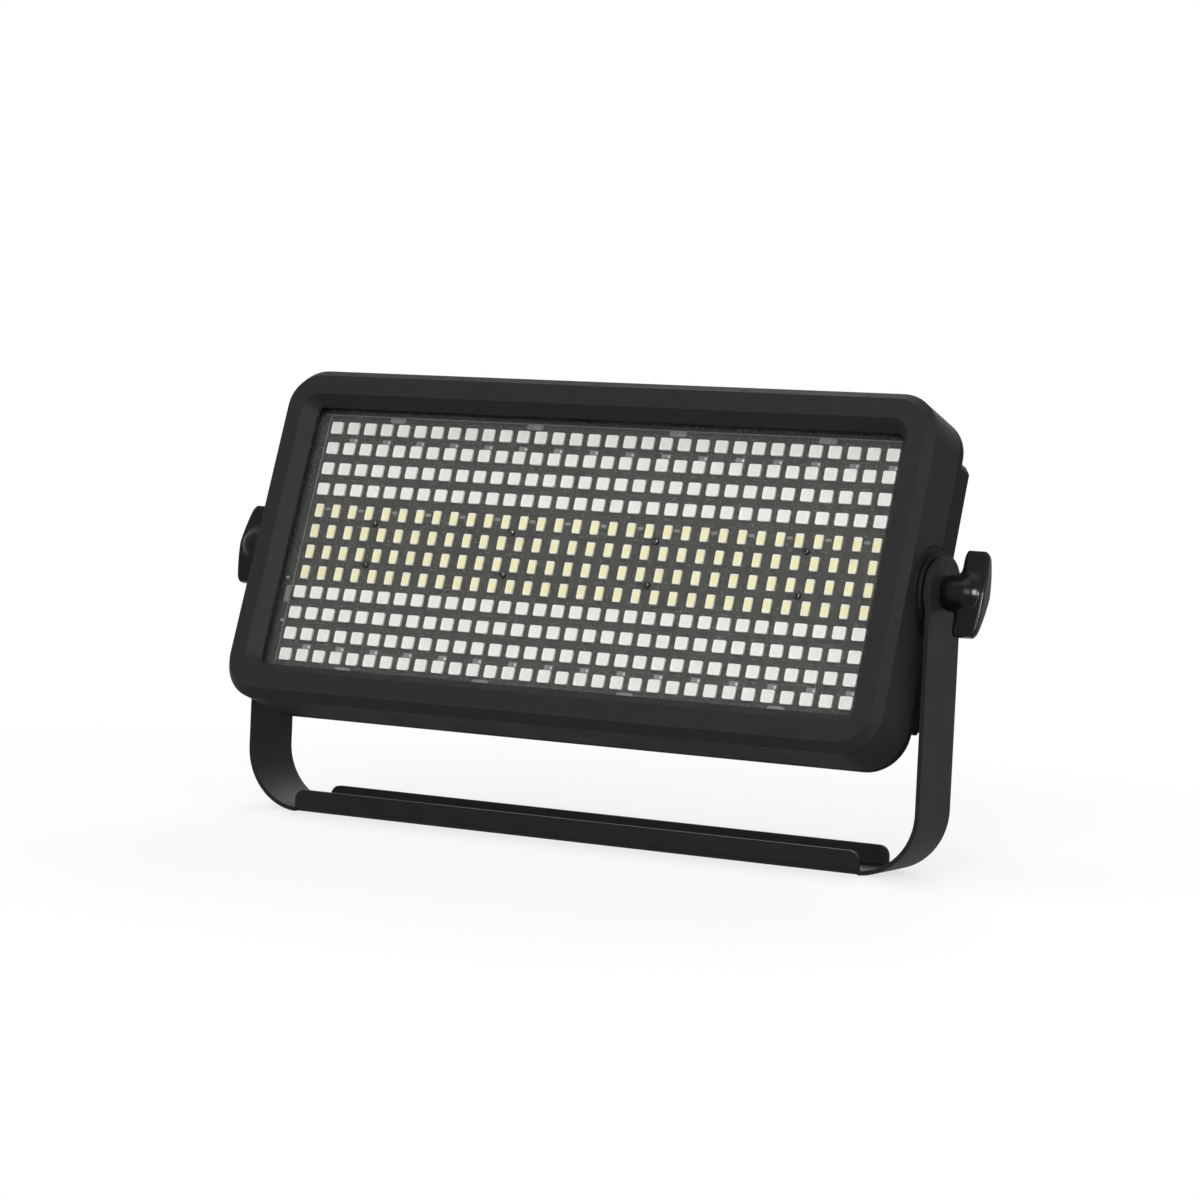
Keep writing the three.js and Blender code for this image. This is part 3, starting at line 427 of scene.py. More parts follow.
def flange_corner_cutter(side):
    """What lies outside the round upper corner at one end of both flanges."""
    centre_x = flange_half_length - flange_corner
    centre_z = flange_height - flange_corner
    reach = flange_corner + cutter_overrun
    outline = [(reach, 0), (reach, reach), (0, reach)]
    for cosine, sine in arc(bend_steps // 2, 1, 0):
        outline.append((flange_corner * cosine, flange_corner * sine))
    outline = [(side * (centre_x + x), centre_z + z) for x, z in outline]
    return lofted("flange_corner_cutter", across(outline, strap_half_width + cutter_overrun))


def build_bracket():
    middle = box_mesh(
        (2 * flange_half_length, 2 * (strap_half_width + cutter_overrun), 2 * flange_height),
        (0, strap_middle_y, 0),
    )
    bracket = add_piece("bracket_steel", strap_mesh())
    combine(bracket, [middle], "DIFFERENCE")
    channel = add_piece("channel", channel_mesh())
    combine(channel, [flange_corner_cutter(-1), flange_corner_cutter(1)], "DIFFERENCE")
    combine(bracket, [channel.data.copy()], "UNION")
    bpy.data.objects.remove(channel)
    arm_hole = bar_along((1, 0, 0), arm_hole_radius, 3 * strap_high.x)
    moved(arm_hole, 0, strap_middle_y, strap_high.z - strap_half_width)
    clamp_hole = moved(bar_along((0, 0, 1), clamp_hole_radius, flange_height), 0, strap_middle_y)
    combine(bracket, [arm_end_cutter(), arm_hole, clamp_hole], "DIFFERENCE")
    round_edges(bracket, coat_edge)
    return bracket


def surface(name, colours, roughness, grain, bump, metallic=0, specular=0.5, speck=None):
    """A finish with mottled colour and roughness and a fine bump, all on object coordinates.

    colours and roughness are pairs that the mottling blends between; grain is the bump's pattern
    per metre and bump its height; speck scatters pale specks over the colour as (share, colour).
    """
    material, tree = new_material(name)
    place = tree.nodes.new("ShaderNodeTexCoord").outputs["Object"]

    def noise(scale, detail, breakup=0.5):
        inputs = {"Vector": place, "Scale": scale, "Detail": detail, "Roughness": breakup}
        return add_node(tree, "ShaderNodeTexNoise", inputs).outputs["Fac"]

    def ramp(factor, tints, spread=mottle_spread):
        blend = add_node(tree, "ShaderNodeValToRGB", {0: factor})
        for stop, position, tint in zip(blend.color_ramp.elements, spread, tints):
            stop.position = position
            stop.color = (*tint, 1)
        return blend.outputs[0]

    colour = ramp(noise(grain / mottle_coarseness, mottle_detail), colours)
    # Pale specks scattered over the colour wherever a fine noise pattern is high.
    if speck:
        bare = 1 - speck[0]
        pattern = noise(grain * speck_fineness, 1)
        pale_specks = ramp(pattern, ((0, 0, 0), (1, 1, 1)), (bare, bare + speck_blend))
        layers = {0: pale_specks, 6: colour, 7: (*speck[1], 1)}
        colour = add_node(tree, "ShaderNodeMix", layers, data_type="RGBA").outputs[2]
    smudges = add_node(tree, "ShaderNodeMapRange", {
        "Value": noise(grain / smudge_coarseness, smudge_detail, smudge_breakup),
        "From Min": smudge_spread[0],
        "From Max": smudge_spread[1],
        "To Min": roughness[0],
        "To Max": roughness[1],
    })
    relief = add_node(tree, "ShaderNodeBump", {
        "Strength": 1,
        "Distance": bump,
        "Height": noise(grain, bump_detail),
    })
    set_inputs(tree, tree.nodes["Principled BSDF"], {
        "Base Color": colour,
        "Metallic": metallic,
        "Roughness": smudges.outputs[0],
        "Specular IOR Level": specular,
        "Normal": relief.outputs[0],
    })
    return material


def finish_piece(piece, body, material, slot, *nodes):
    piece.data.materials.clear()
    piece.data.materials.append(material)
    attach(piece, body)
    if nodes:
        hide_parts(*nodes)


powder_coat = surface(
    "powder_coat",
    colours=((0.014, 0.0142, 0.0144), (0.0172, 0.0174, 0.0176)),
    roughness=(0.52, 0.6),
    grain=1400,
    bump=0.00003,
    specular=0.08,
)
finish_piece(build_bracket(), "bracket", powder_coat, "powder_coat", *strap_nodes)


# Front frame: one injection-moulded shell of black plastic, with a chamfer round a flat face and
# a bevel down to the window. Posts inside take the case screws and the ears of the heat sink.
joints = {joint["name"]: joint for joint in frame["joints"]}
pivot = Vector(joints["head_tilt"]["pos_m"])
head_back = Vector(joints["fan_spin"]["axis"]).normalized()
head_up = Vector((1, 0, 0)).cross(head_back)
head_matrix = Matrix.Translation(pivot) @ Matrix((
    (1, head_back.x, head_up.x),
    (0, head_back.y, head_up.y),
    (0, head_back.z, head_up.z),
)).to_4x4()


def head_box(node):
    """Lowest and highest corner of a node in the head's upright frame, centred on the pivot."""
    inverse = head_matrix.inverted()
    corners = [inverse @ vertex.co for vertex in frame["nodes"][node].data.vertices]
    low = Vector([min(corner[k] for corner in corners) for k in range(3)])
    high = Vector([max(corner[k] for corner in corners) for k in range(3)])
    return low, high


def standing_points(names):
    """Where nodes stand in the head's frame: the middle x and z of each, and its lowest y."""
    found = []
    for name in names:
        low, high = head_box(name)
        found.append(Vector(((low.x + high.x) / 2, low.y, (low.z + high.z) / 2)))
    return found


def nodes_called(start, holding=""):
    return [name for name in frame["nodes"] if name.startswith(start) and holding in name]


frame_low, frame_high = head_box("front_frame")
window_low, window_high = head_box("window")
side_half_x = frame_high.x
side_half_z = frame_high.z
side_radius = 0.014
chamfer_x = 0.0025
chamfer_z = 0.0029
chamfer_depth = 0.0038
face_outer_radius = 0.0115
face_width_x = 0.006
face_width_z = 0.0067
face_inner_radius = 0.006
bevel_width = 0.0034
bevel_depth = 0.0051
opening_radius = 0.003
lip_thickness = 0.0006
frame_wall = 0.0025
face_wall = 0.0024
pocket_gap = 0.0003
pocket_wall = 0.002
corner_steps = 14
corner_signs = ((1, 1), (-1, 1), (-1, -1), (1, -1))
frame_edge = 0.0003
boss_radius = 0.0147
boss_gap = 0.0003
post_radius = 0.0036
screw_hole_radius = 0.0018


def rounded_ring(half_x, half_z, radius, y, centre=(0, 0), steps=corner_steps):
    points = []
    for quarter, (sign_x, sign_z) in enumerate(corner_signs):
        for cosine, sine in arc(steps, quarter, quarter + 1):
            points.append((
                centre[0] + sign_x * (half_x - radius) + radius * cosine,
                y,
                centre[1] + sign_z * (half_z - radius) + radius * sine,
            ))
    return points


def ring_piece(name, stations, closed_section=False, **more):
    """A piece through rounded rings, each given as half width, half height, radius and y."""
    rings = [rounded_ring(*station, **more) for station in stations]
    return add_piece(name, lofted(name, rings, closed_section))


def to_head(piece):
    """Moves a piece that was made upright around the pivot to where the head really is."""
    piece.data.transform(head_matrix)
    return piece


def build_front_frame():
    face_y = frame_low.y
    seam_y = frame_high.y
    face_x = side_half_x - chamfer_x
    face_z = side_half_z - chamfer_z
    inner_x = face_x - face_width_x
    inner_z = face_z - face_width_z
    open_x = inner_x - bevel_width
    open_z = inner_z - bevel_width
    pocket_x = window_high.x + pocket_gap
    pocket_z = window_high.z + pocket_gap
    rib_x = pocket_x + pocket_wall
    rib_z = pocket_z + pocket_wall
    wall_x = side_half_x - frame_wall
    wall_z = side_half_z - frame_wall
    wall_radius = side_radius - frame_wall
    face_back_y = face_y + face_wall
    opening_y = face_y + bevel_depth
    lip_y = opening_y + lip_thickness
    shell = ring_piece("front_shell", [
        (face_x, face_z, face_outer_radius, face_y),
        (side_half_x, side_half_z, side_radius, face_y + chamfer_depth),
        (side_half_x, side_half_z, side_radius, seam_y),
        (wall_x, wall_z, wall_radius, seam_y),
        (wall_x, wall_z, wall_radius, face_back_y),
        (rib_x, rib_z, face_inner_radius, face_back_y),
        (rib_x, rib_z, face_inner_radius, window_high.y),
        (pocket_x, pocket_z, face_inner_radius, window_high.y),
        (pocket_x, pocket_z, face_inner_radius, lip_y),
        (open_x, open_z, opening_radius, lip_y),
        (open_x, open_z, opening_radius, opening_y),
        (inner_x, inner_z, face_inner_radius, face_y),
    ], closed_section=True)
    posts = []
    bores = []
    start_y = face_y + face_wall / 2
    sink_y = head_box("heat_sink")[0].y - boss_gap
    for kind, end_y in (("case_screw", seam_y), ("heat_sink_screw", sink_y)):
        for point in standing_points(nodes_called(kind)):
            post = bar_along((0, 1, 0), post_radius, end_y - start_y, hole_sides // 2)
            posts.append(moved(post, point.x, (start_y + end_y) / 2, point.z))
            depth = end_y - point.y + boss_gap
            length = depth + cutter_overrun
            bore = bar_along((0, 1, 0), screw_hole_radius, length, hole_sides // 2)
            bores.append(moved(bore, point.x, end_y - (depth - cutter_overrun) / 2, point.z))
    combine(shell, posts, "UNION")
    notch_length = frame_wall + 2 * cutter_overrun
    notch = bar_along((1, 0, 0), boss_radius + boss_gap, notch_length, 2 * hole_sides)
    notch_x = side_half_x - frame_wall / 2
    notches = [moved(notch.copy(), side * notch_x) for side in (-1, 1)]
    combine(shell, bores + notches, "DIFFERENCE")
    round_edges(shell, frame_edge)
    return to_head(shell)


housing_plastic = surface(
    "housing_plastic",
    colours=((0.0245, 0.0252, 0.0249), (0.0265, 0.0272, 0.0268)),
    roughness=(0.54, 0.62),
    grain=2200,
    bump=0.000015,
    specular=0.04,
)
finish_piece(build_front_frame(), "head", housing_plastic, "housing_plastic", "front_frame")


# Window and gasket: a 3 mm clear acrylic pane dropped into the frame's pocket from behind, on a
# thin black rubber ring that is cut from sheet and seals it against the lip.
gasket_width = 0.002
gasket_radius = 0.0052
pane_radius = 0.0051
pane_edge = 0.0002
pane_tint = (0.985, 0.99, 0.985, 1)
pane_roughness = 0.02
pane_refraction = 1.15
lamp_rays = ("Is Shadow Ray", "Is Diffuse Ray")


def build_gasket():
    low, high = head_box("window_gasket")
    outer = (high.x, high.z, gasket_radius)
    inner = [size - gasket_width for size in outer]
    stations = [(*outer, low.y), (*outer, high.y), (*inner, high.y), (*inner, low.y)]
    gasket = ring_piece("gasket_ring", stations, closed_section=True)
    round_edges(gasket, pane_edge / 2, 1)
    return to_head(gasket)


def build_pane():
    outline = (window_high.x, window_high.z, pane_radius)
    pane = ring_piece("window_pane", [(*outline, window_low.y), (*outline, window_high.y)])
    round_edges(pane, pane_edge, 1)
    return to_head(pane)


def clear_acrylic():
    """Clear plastic that lets the lamps through, so that what lies behind it stays lit."""
    material, tree = new_material("clear_acrylic")
    shader = tree.nodes["Principled BSDF"]
    set_inputs(tree, shader, {
        "Base Color": pane_tint,
        "Roughness": pane_roughness,
        "IOR": pane_refraction,
        "Transmission Weight": 1,
    })
    clear = add_node(tree, "ShaderNodeBsdfTransparent", {"Color": pane_tint})
    seen = mix_shaders(tree, any_ray(tree, lamp_rays), shader, clear)
    set_inputs(tree, tree.nodes["Material Output"], {"Surface": seen.outputs[0]})
    return material


black_rubber = surface(
    "black_rubber",
    colours=((0.008, 0.008, 0.008), (0.012, 0.012, 0.012)),
    roughness=(0.7, 0.85),
    grain=2500,
    bump=0.00002,
    specular=0.3,
)
finish_piece(build_gasket(), "head", black_rubber, "rubber", "window_gasket")
finish_piece(build_pane(), "head", clear_acrylic(), "window_plastic", "window")


# LED board: a plate with a dark solder mask, screwed to the heat sink. The white packages are
# square ceramic cups filled with pale phosphor, the yellow ones narrow cups in four middle rows.
board_low, board_high = head_box("led_board")
led_columns = 32
led_rows = 12
first_yellow_row = 4
yellow_rows = 4
column_pitch = 0.007
row_pitch = 0.0076
led_height = 0.0008
led_flat_share = 0.84
led_side_share = 0.25
white_led = (0.0045, 0.0043)
white_cup_share = 0.84
white_cup_steps = 4
yellow_led = (0.00285, 0.0048)
yellow_shift = 0.00038
yellow_cup_shares = (0.86, 0.7)
cup_depth = 0.0001
cup_floor_share = 0.94
board_corner = 0.0015
board_edge = 0.00015
board_hole_radius = 0.0012
print_thickness = 0.00004
pad_corner_steps = 3
border_width = 0.0003
border_margins = (0.0042, 0.0051)
edge_pad_size = (0.0066, 0.0021)
edge_pad_rise = 0.0040
edge_pad_pitch = 0.056
edge_pad_columns = 4
small_pad_size = (0.0023, 0.0011)
small_pad_rise = 0.0005
chip_pad = (0.0034, 0.0019)
chip_body = (0.0016, 0.0012)
chip_end = (0.0006, 0.0009)
chip_height = 0.0004
chip_shift = (0.0007, -0.0006)
chip_top_share = 0.88
lead_socket_place = (-0.1134, -0.0201)
lead_socket_size = (0.0019, 0.0064)
lead_socket_height = 0.0009
solder_dots = ((-0.1151, -0.014), (-0.1135, -0.0296))
solder_dot_size = (0.0009, 0.0009)
board_face_y = board_low.y + led_height
array_half_x = (led_columns - 1) * column_pitch / 2
array_half_z = (led_rows - 1) * row_pitch / 2


def build_board_plate():
    outline = (board_high.x, board_high.z, board_corner)
    stations = [(*outline, board_face_y), (*outline, board_high.y)]
    plate = ring_piece("board_plate", stations, steps=corner_steps // 3)
    length = 3 * (board_high.y - board_face_y)
    holes = []
    for point in standing_points(nodes_called("board_screw")):
        bore = bar_along((0, 1, 0), board_hole_radius, length, hole_sides // 3)
        holes.append(moved(bore, point.x, board_high.y, point.z))
    combine(plate, holes, "DIFFERENCE")
    round_edges(plate, board_edge, 1)
    return to_head(plate)


def all_quarters(quarter):
    """Points that run from the X axis to the Z axis, carried on round the other three quarters."""
    back = list(reversed(quarter))
    around = list(quarter)
    around += [(-x, z) for x, z in back]
    around += [(-x, -z) for x, z in quarter]
    around += [(x, -z) for x, z in back]
    return around


def mark_faces(mesh, marked):
    marks = mesh.attributes.new("marked", "BOOLEAN", "FACE")
    for face in marked:
        marks.data[face].value = True


def led_package(name, size, outline, rim):
    """One package: a block with a shallow cup in its front, whose floor is marked as phosphor."""
    mesh = bpy.data.meshes.new(name)
    work = bmesh.new()
    edge, cup = (
        [(x * size[0] / 2, z * size[1] / 2) for x, z in all_quarters(quarter)]
        for quarter in (outline, rim)
    )
    front = [work.verts.new((x, 0, z)) for x, z in edge]
    back = [work.verts.new((x, led_height, z)) for x, z in edge]
    lip = [work.verts.new((x, 0, z)) for x, z in cup]
    floor = [work.verts.new((x * cup_floor_share, cup_depth, z * cup_floor_share)) for x, z in cup]
    for step in range(len(edge)):
        following = (step + 1) % len(edge)
        work.faces.new((front[step], front[following], lip[following], lip[step]))
        work.faces.new((lip[step], lip[following], floor[following], floor[step]))
        work.faces.new((front[step], back[step], back[following], front[following]))
    glowing = work.faces.new(floor)
    work.faces.new(back)
    bmesh.ops.recalc_face_normals(work, faces=work.faces)
    work.faces.index_update()
    glowing_index = glowing.index
    work.to_mesh(mesh)
    work.free()
    mark_faces(mesh, [glowing_index])
    return add_piece(name, mesh)


def soldered_part(name, blocks):
    """A small part of tapered blocks, each given as place, size, height and if it is solder."""
    mesh = bpy.data.meshes.new(name)
    work = bmesh.new()
    for (x, z), (width, length), height, _ in blocks:
        rings = []
        for y, share in ((0, 1), (-height, chip_top_share)):
            reach_x, reach_z = width / 2 * share, length / 2 * share
            signs = ((-1, -1), (1, -1), (1, 1), (-1, 1))
            ring = [(x + sign_x * reach_x, y, z + sign_z * reach_z) for sign_x, sign_z in signs]
            rings.append([work.verts.new(point) for point in ring])
        foot, top = rings
        work.faces.new(top)
        work.faces.new(list(reversed(foot)))
        for step in range(4):
            following = (step + 1) % 4
            work.faces.new((foot[step], foot[following], top[following], top[step]))
    bmesh.ops.recalc_face_normals(work, faces=work.faces)
    faces_each = len(work.faces) // len(blocks)
    work.to_mesh(mesh)
    work.free()
    marked = []
    for number, (*_, solder) in enumerate(blocks):
        if solder:
            marked += range(faces_each * number, faces_each * (number + 1))
    mark_faces(mesh, marked)
    return add_piece(name, mesh)


def printed_pad(name, size):
    """A rounded patch of pale print on the mask."""
    outline = (size[0] / 2, size[1] / 2, size[1] / 2 - print_thickness)
    return ring_piece(name, [(*outline, -print_thickness), (*outline, 0)], steps=pad_corner_steps)


def node_group(name, inputs):
    """An empty geometry tree with the named inputs, what it is given and the output it makes."""
    tree = bpy.data.node_groups.new(name, "GeometryNodeTree")
    for label, kind in {"Geometry": "Geometry", **inputs}.items():
        tree.interface.new_socket(label, in_out="INPUT", socket_type="NodeSocket" + kind)
    tree.interface.new_socket("Geometry", in_out="OUTPUT", socket_type="NodeSocketGeometry")
    return tree, tree.nodes.new("NodeGroupInput").outputs, tree.nodes.new("NodeGroupOutput")


def copies_on(tree, points, pattern, **more):
    """Real copies of the pattern's mesh on the points."""
    shape = add_node(tree, "GeometryNodeObjectInfo", {"Object": pattern})
    inputs = {"Points": points, "Instance": shape.outputs["Geometry"], **more}
    placed = add_node(tree, "GeometryNodeInstanceOnPoints", inputs)
    return add_node(tree, "GeometryNodeRealizeInstances", {0: placed.outputs[0]}).outputs[0]


def coated(tree, geometry, material, **more):
    inputs = {"Geometry": geometry, "Material": material, **more}
    return add_node(tree, "GeometryNodeSetMaterial", inputs).outputs[0]


def run_tree(name, tree, values, mesh=None):
    """Evaluates the tree with the named values on a new piece and keeps its plain mesh."""
    piece = add_piece(name, mesh or bpy.data.meshes.new(name))
    modifier = piece.modifiers.new(name, "NODES")
    modifier.node_group = tree
    for item in tree.interface.items_tree:
        if item.item_type == "SOCKET" and item.in_out == "INPUT" and item.name in values:
            modifier[item.identifier] = values[item.name]
    bake_modifiers(piece)
    return piece


def board_grid_tree():
    """Rows and columns of one part, set out around the origin in the XZ plane."""
    tree, given, made = node_group("board_grid", {
        "Part": "Object",
        "Columns": "Int",
        "Rows": "Int",
        "Column Pitch": "Float",
        "Row Pitch": "Float",
        "Row Gap": "Float",
        "Body": "Material",
        "Marked": "Material",
    })

    def reckoned(operation, first, second):
        pair = {0: first, 1: second}
        return add_node(tree, "ShaderNodeMath", pair, operation=operation).outputs[0]

    def middle_of(count):
        return reckoned("DIVIDE", reckoned("SUBTRACT", count, 1), 2)

    columns, rows = given["Columns"], given["Rows"]
    index = tree.nodes.new("GeometryNodeInputIndex").outputs[0]
    row = reckoned("FLOOR", reckoned("DIVIDE", index, columns), 0)
    column = reckoned("SUBTRACT", index, reckoned("MULTIPLY", row, columns))
    from_middle_column = reckoned("SUBTRACT", column, middle_of(columns))
    from_middle_row = reckoned("SUBTRACT", middle_of(rows), row)
    gap = reckoned("MULTIPLY", reckoned("SIGN", from_middle_row, 0), given["Row Gap"])
    rise = reckoned("MULTIPLY", from_middle_row, given["Row Pitch"])
    spot = add_node(tree, "ShaderNodeCombineXYZ", {
        "X": reckoned("MULTIPLY", from_middle_column, given["Column Pitch"]),
        "Z": reckoned("ADD", rise, gap),
    })
    points = add_node(tree, "GeometryNodePoints", {
        "Count": reckoned("MULTIPLY", columns, rows),
        "Position": spot.outputs[0],
    })
    parts = copies_on(tree, points.outputs[0], given["Part"])
    name = {"Name": "marked"}
    chosen = add_node(tree, "GeometryNodeInputNamedAttribute", name, data_type="BOOLEAN")
    body = coated(tree, parts, given["Body"])
    marked = coated(tree, body, given["Marked"], Selection=chosen.outputs["Attribute"])
    set_inputs(tree, made, {0: marked})
    return tree


board_grid = board_grid_tree()


def set_out(part, grid, pitches, body, marked, row_gap=0, shift=(0, 0), y=board_face_y):
    """Sets a part out in a grid of columns and rows on the board and removes its pattern."""
    name = part.name.removesuffix("_pattern")
    field = run_tree(name, board_grid, {
        "Part": part,
        "Columns": grid[0],
        "Rows": grid[1],
        "Column Pitch": pitches[0],
        "Row Pitch": pitches[1],
        "Row Gap": row_gap,
        "Body": body,
        "Marked": marked,
    })
    bpy.data.objects.remove(part)
    moved(field.data, shift[0], y, shift[1])
    to_head(field)
    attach(field, "head")


def package_finish(name, colours, filled):
    """Plain ceramic, or the smoother resin with phosphor that fills its cup."""
    roughness = (0.3, 0.4) if filled else (0.45, 0.55)
    bump = 0.00001 if filled else 0.000005
    return surface(name, colours, roughness, grain=3000, bump=bump, specular=0.3)


white_ceramic = package_finish(
    "white_ceramic", ((0.87, 0.87, 0.845), (0.9, 0.9, 0.875)), filled=False
)
pale_phosphor = package_finish(
    "pale_phosphor", ((0.82, 0.825, 0.8), (0.86, 0.865, 0.84)), filled=True
)
cream_ceramic = package_finish(
    "cream_ceramic", ((0.87, 0.85, 0.7), (0.9, 0.88, 0.73)), filled=False
)
yellow_phosphor = package_finish(
    "yellow_phosphor", ((0.89, 0.82, 0.47), (0.93, 0.86, 0.52)), filled=True
)
solder_mask = surface(
    "solder_mask",
    colours=((0.052, 0.0528, 0.0485), (0.062, 0.063, 0.058)),
    roughness=(0.55, 0.65),
    grain=1200,
    bump=0.00001,
    specular=0.1,
    speck=(0.36, (0.2, 0.2, 0.19)),
)
pale_print = surface(
    "pale_print",
    colours=((0.19, 0.193, 0.187), (0.25, 0.254, 0.247)),
    roughness=(0.5, 0.6),
    grain=2600,
    bump=0.00001,
    specular=0.2,
)
bare_solder = surface(
    "bare_solder",
    colours=((0.5, 0.5, 0.49), (0.66, 0.66, 0.65)),
    roughness=(0.25, 0.4),
    grain=2600,
    bump=0.00002,
    metallic=0.4,
)
finish_piece(build_board_plate(), "head", solder_mask, "led_board", "led_board")

round_cup = []
for step in range(white_cup_steps):
    angle = math.pi / 2 * (step + 0.5) / white_cup_steps
    round_cup.append((white_cup_share * math.cos(angle), white_cup_share * math.sin(angle)))
square_side = [(1, led_side_share), (1, led_flat_share)]
square_side += [(z, x) for x, z in reversed(square_side)]
set_out(
    led_package("white_leds_pattern", white_led, square_side, round_cup),
    (led_columns, led_rows - yellow_rows),
    (column_pitch, row_pitch),
    white_ceramic,
    pale_phosphor,
    row_gap=yellow_rows * row_pitch / 2,
    y=board_low.y,
)
cup_x, cup_z = yellow_cup_shares
narrow_cup = [(cup_x, cup_z * led_flat_share), (cup_x * led_flat_share, cup_z)]
cut_corner = [(1, led_flat_share), (led_flat_share, 1)]
set_out(
    led_package("yellow_leds_pattern", yellow_led, cut_corner, narrow_cup),
    (led_columns, yellow_rows),
    (column_pitch, row_pitch),
    cream_ceramic,
    yellow_phosphor,
    shift=(yellow_shift, -yellow_shift),
    y=board_low.y,
)


def build_border():
    """The thin printed line that runs round the array."""
    half_x, half_z = array_half_x + border_margins[0], array_half_z + border_margins[1]
    outer = (half_x, half_z, board_corner)
    inner = [size - border_width for size in outer]
    front_y = board_face_y - print_thickness
    return to_head(ring_piece("board_border", [
        (*outer, front_y),
        (*outer, board_face_y),
        (*inner, board_face_y),
        (*inner, front_y),
    ], closed_section=True))


finish_piece(build_border(), "head", pale_print, "led_board")
set_out(
    printed_pad("edge_pads_pattern", edge_pad_size),
    (edge_pad_columns, 2),
    (edge_pad_pitch, 2 * (array_half_z + edge_pad_rise)),
    pale_print,
    pale_print,
)
set_out(
    printed_pad("band_pads_pattern", small_pad_size),
    (led_columns // 2, 1),
    (2 * column_pitch, 0),
    pale_print,
    pale_print,
    shift=(0, ((led_rows - 1) / 2 - first_yellow_row) * row_pitch + small_pad_rise),
)
chip_reach = (chip_body[0] + chip_end[0]) / 2
set_out(
    soldered_part("resistors_pattern", [
        ((0, 0), chip_pad, print_thickness, False),
        ((0, 0), chip_body, chip_height, False),
        ((chip_reach, 0), chip_end, chip_height, True),
    ]),
    (led_columns // 2, 2),
    (2 * column_pitch, (led_rows - 2) * row_pitch),
    pale_print,
    bare_solder,
    shift=(column_pitch / 2 + chip_shift[0], chip_shift[1]),
)
set_out(
    soldered_part("lead_socket_pattern", [
        (lead_socket_place, lead_socket_size, lead_socket_height, False),
        *[(place, solder_dot_size, chip_height, True) for place in solder_dots],
    ]),
    (1, 1),
    (0, 0),
    pale_print,
    bare_solder,
)


# Heat sink: an extruded aluminium plate with fins, behind the LED board, left plain grey.
# It hangs on four ears, which are screwed to posts inside the front frame.
plain_aluminium = surface(
    "plain_aluminium",
    colours=((0.5, 0.51, 0.52), (0.6, 0.61, 0.62)),
    roughness=(0.3, 0.42),
    grain=900,
    bump=0.00002,
    metallic=1,
)


def refine(node, name, material, slot, edge, segments=2):
    """A finished copy of a CAD node: merged, its edges rounded, in its own material."""
    source = frame["nodes"][node]
    body = source["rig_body"]
    piece = add_piece(name, source.data.copy())
    if edge:
        round_edges(piece, edge, segments)
    finish_piece(piece, body, material, slot, node)


sink_edge = 0.0002
refine("heat_sink", "finned_plate", plain_aluminium, "aluminium", sink_edge, 1)


# Screws: pan heads with a cross recess, black on the LED board and zinc plated elsewhere.
# Each is cold headed from wire and driven into a moulded post or a tapped hole.
screw_head_steps = 7
screw_sides = 28
screw_tip_share = 0.7
screw_tip_slope = 0.5
dome_top_share = 0.45
dome_rim_share = 0.35
recess_width_share = 0.32
recess_length_share = 1.25
recess_depth_share = 0.6
screw_edge = 0.00008
zinc_plate = surface(
    "zinc_plate",
    colours=((0.42, 0.43, 0.44), (0.55, 0.56, 0.56)),
    roughness=(0.25, 0.4),
    grain=1500,
    bump=0.00001,
    metallic=1,
)
black_plate = surface(
    "black_plate",
    colours=((0.02, 0.02, 0.021), (0.035, 0.035, 0.036)),
    roughness=(0.35, 0.45),
    grain=1500,
    bump=0.00001,
    metallic=0.6,
)
zinc_screws = {
    "heat_sink_screw": {"shank_radius": 0.0015, "head_height": 0.0015},
    "case_screw": {"shank_radius": 0.0015, "head_height": 0.0015},
    "fan_screw": {"shank_radius": 0.0015, "head_height": 0.0015},
    "signal_in_screw": {"shank_radius": 0.0015, "head_height": 0.0014},
    "signal_out_screw": {"shank_radius": 0.0015, "head_height": 0.0014},
    "safety_eye_screw": {"shank_radius": 0.002, "head_height": 0.002},
}
board_screw = {"shank_radius": 0.0009, "head_height": 0.0013}


def turned(profile, sides):
    """A mesh turned round the Y axis from (radius, y) points; a radius of 0 closes it."""
    rings = []
    for radius, y in profile:
        ring = []
        for step in range(sides):
            angle = 2 * math.pi * step / sides
            ring.append((radius * math.cos(angle), y, radius * math.sin(angle)))
        rings.append(ring)
    points = [point for ring in rings for point in ring]
    faces = []
    for link in range(len(rings) - 1):
        near, far = link * sides, (link + 1) * sides
        for step in range(sides):
            following = (step + 1) % sides
            corners = [near + step, far + step, far + following, near + following]
            if profile[link][0] == 0:
                corners = [near, far + step, far + following]
            elif profile[link + 1][0] == 0:
                corners = [near + step, far, near + following]
            faces.append(tuple(corners))
    return mesh_from("turned", points, faces)


def screw_mesh(head_radius, length, shank_radius, head_height):
    """One screw along Y: tip at 0, the top of its head at length, with a cross recess in it."""
    under_head = length - head_height
    profile = [
        (0, 0),
        (shank_radius * screw_tip_share, 0),
        (shank_radius, shank_radius * screw_tip_slope),
        (shank_radius, under_head),
        (head_radius, under_head),
    ]
    for cosine, sine in arc(screw_head_steps):
        profile.append((
            head_radius * (dome_top_share + (1 - dome_top_share) * cosine),
            under_head + head_height * (dome_rim_share + (1 - dome_rim_share) * sine),
        ))
    profile.append((0, length))
    screw = add_piece("screw", turned(profile, screw_sides))
    deep = 2 * head_height * recess_depth_share
    wide = head_radius * recess_width_share
    long = head_radius * recess_length_share
    cross = [box_mesh((x, deep, z), (0, length, 0)) for x, z in ((long, wide), (wide, long))]
    combine(screw, cross, "DIFFERENCE")
    round_edges(screw, screw_edge, 1)
    mesh = screw.data
    bpy.data.objects.remove(screw)
    return mesh


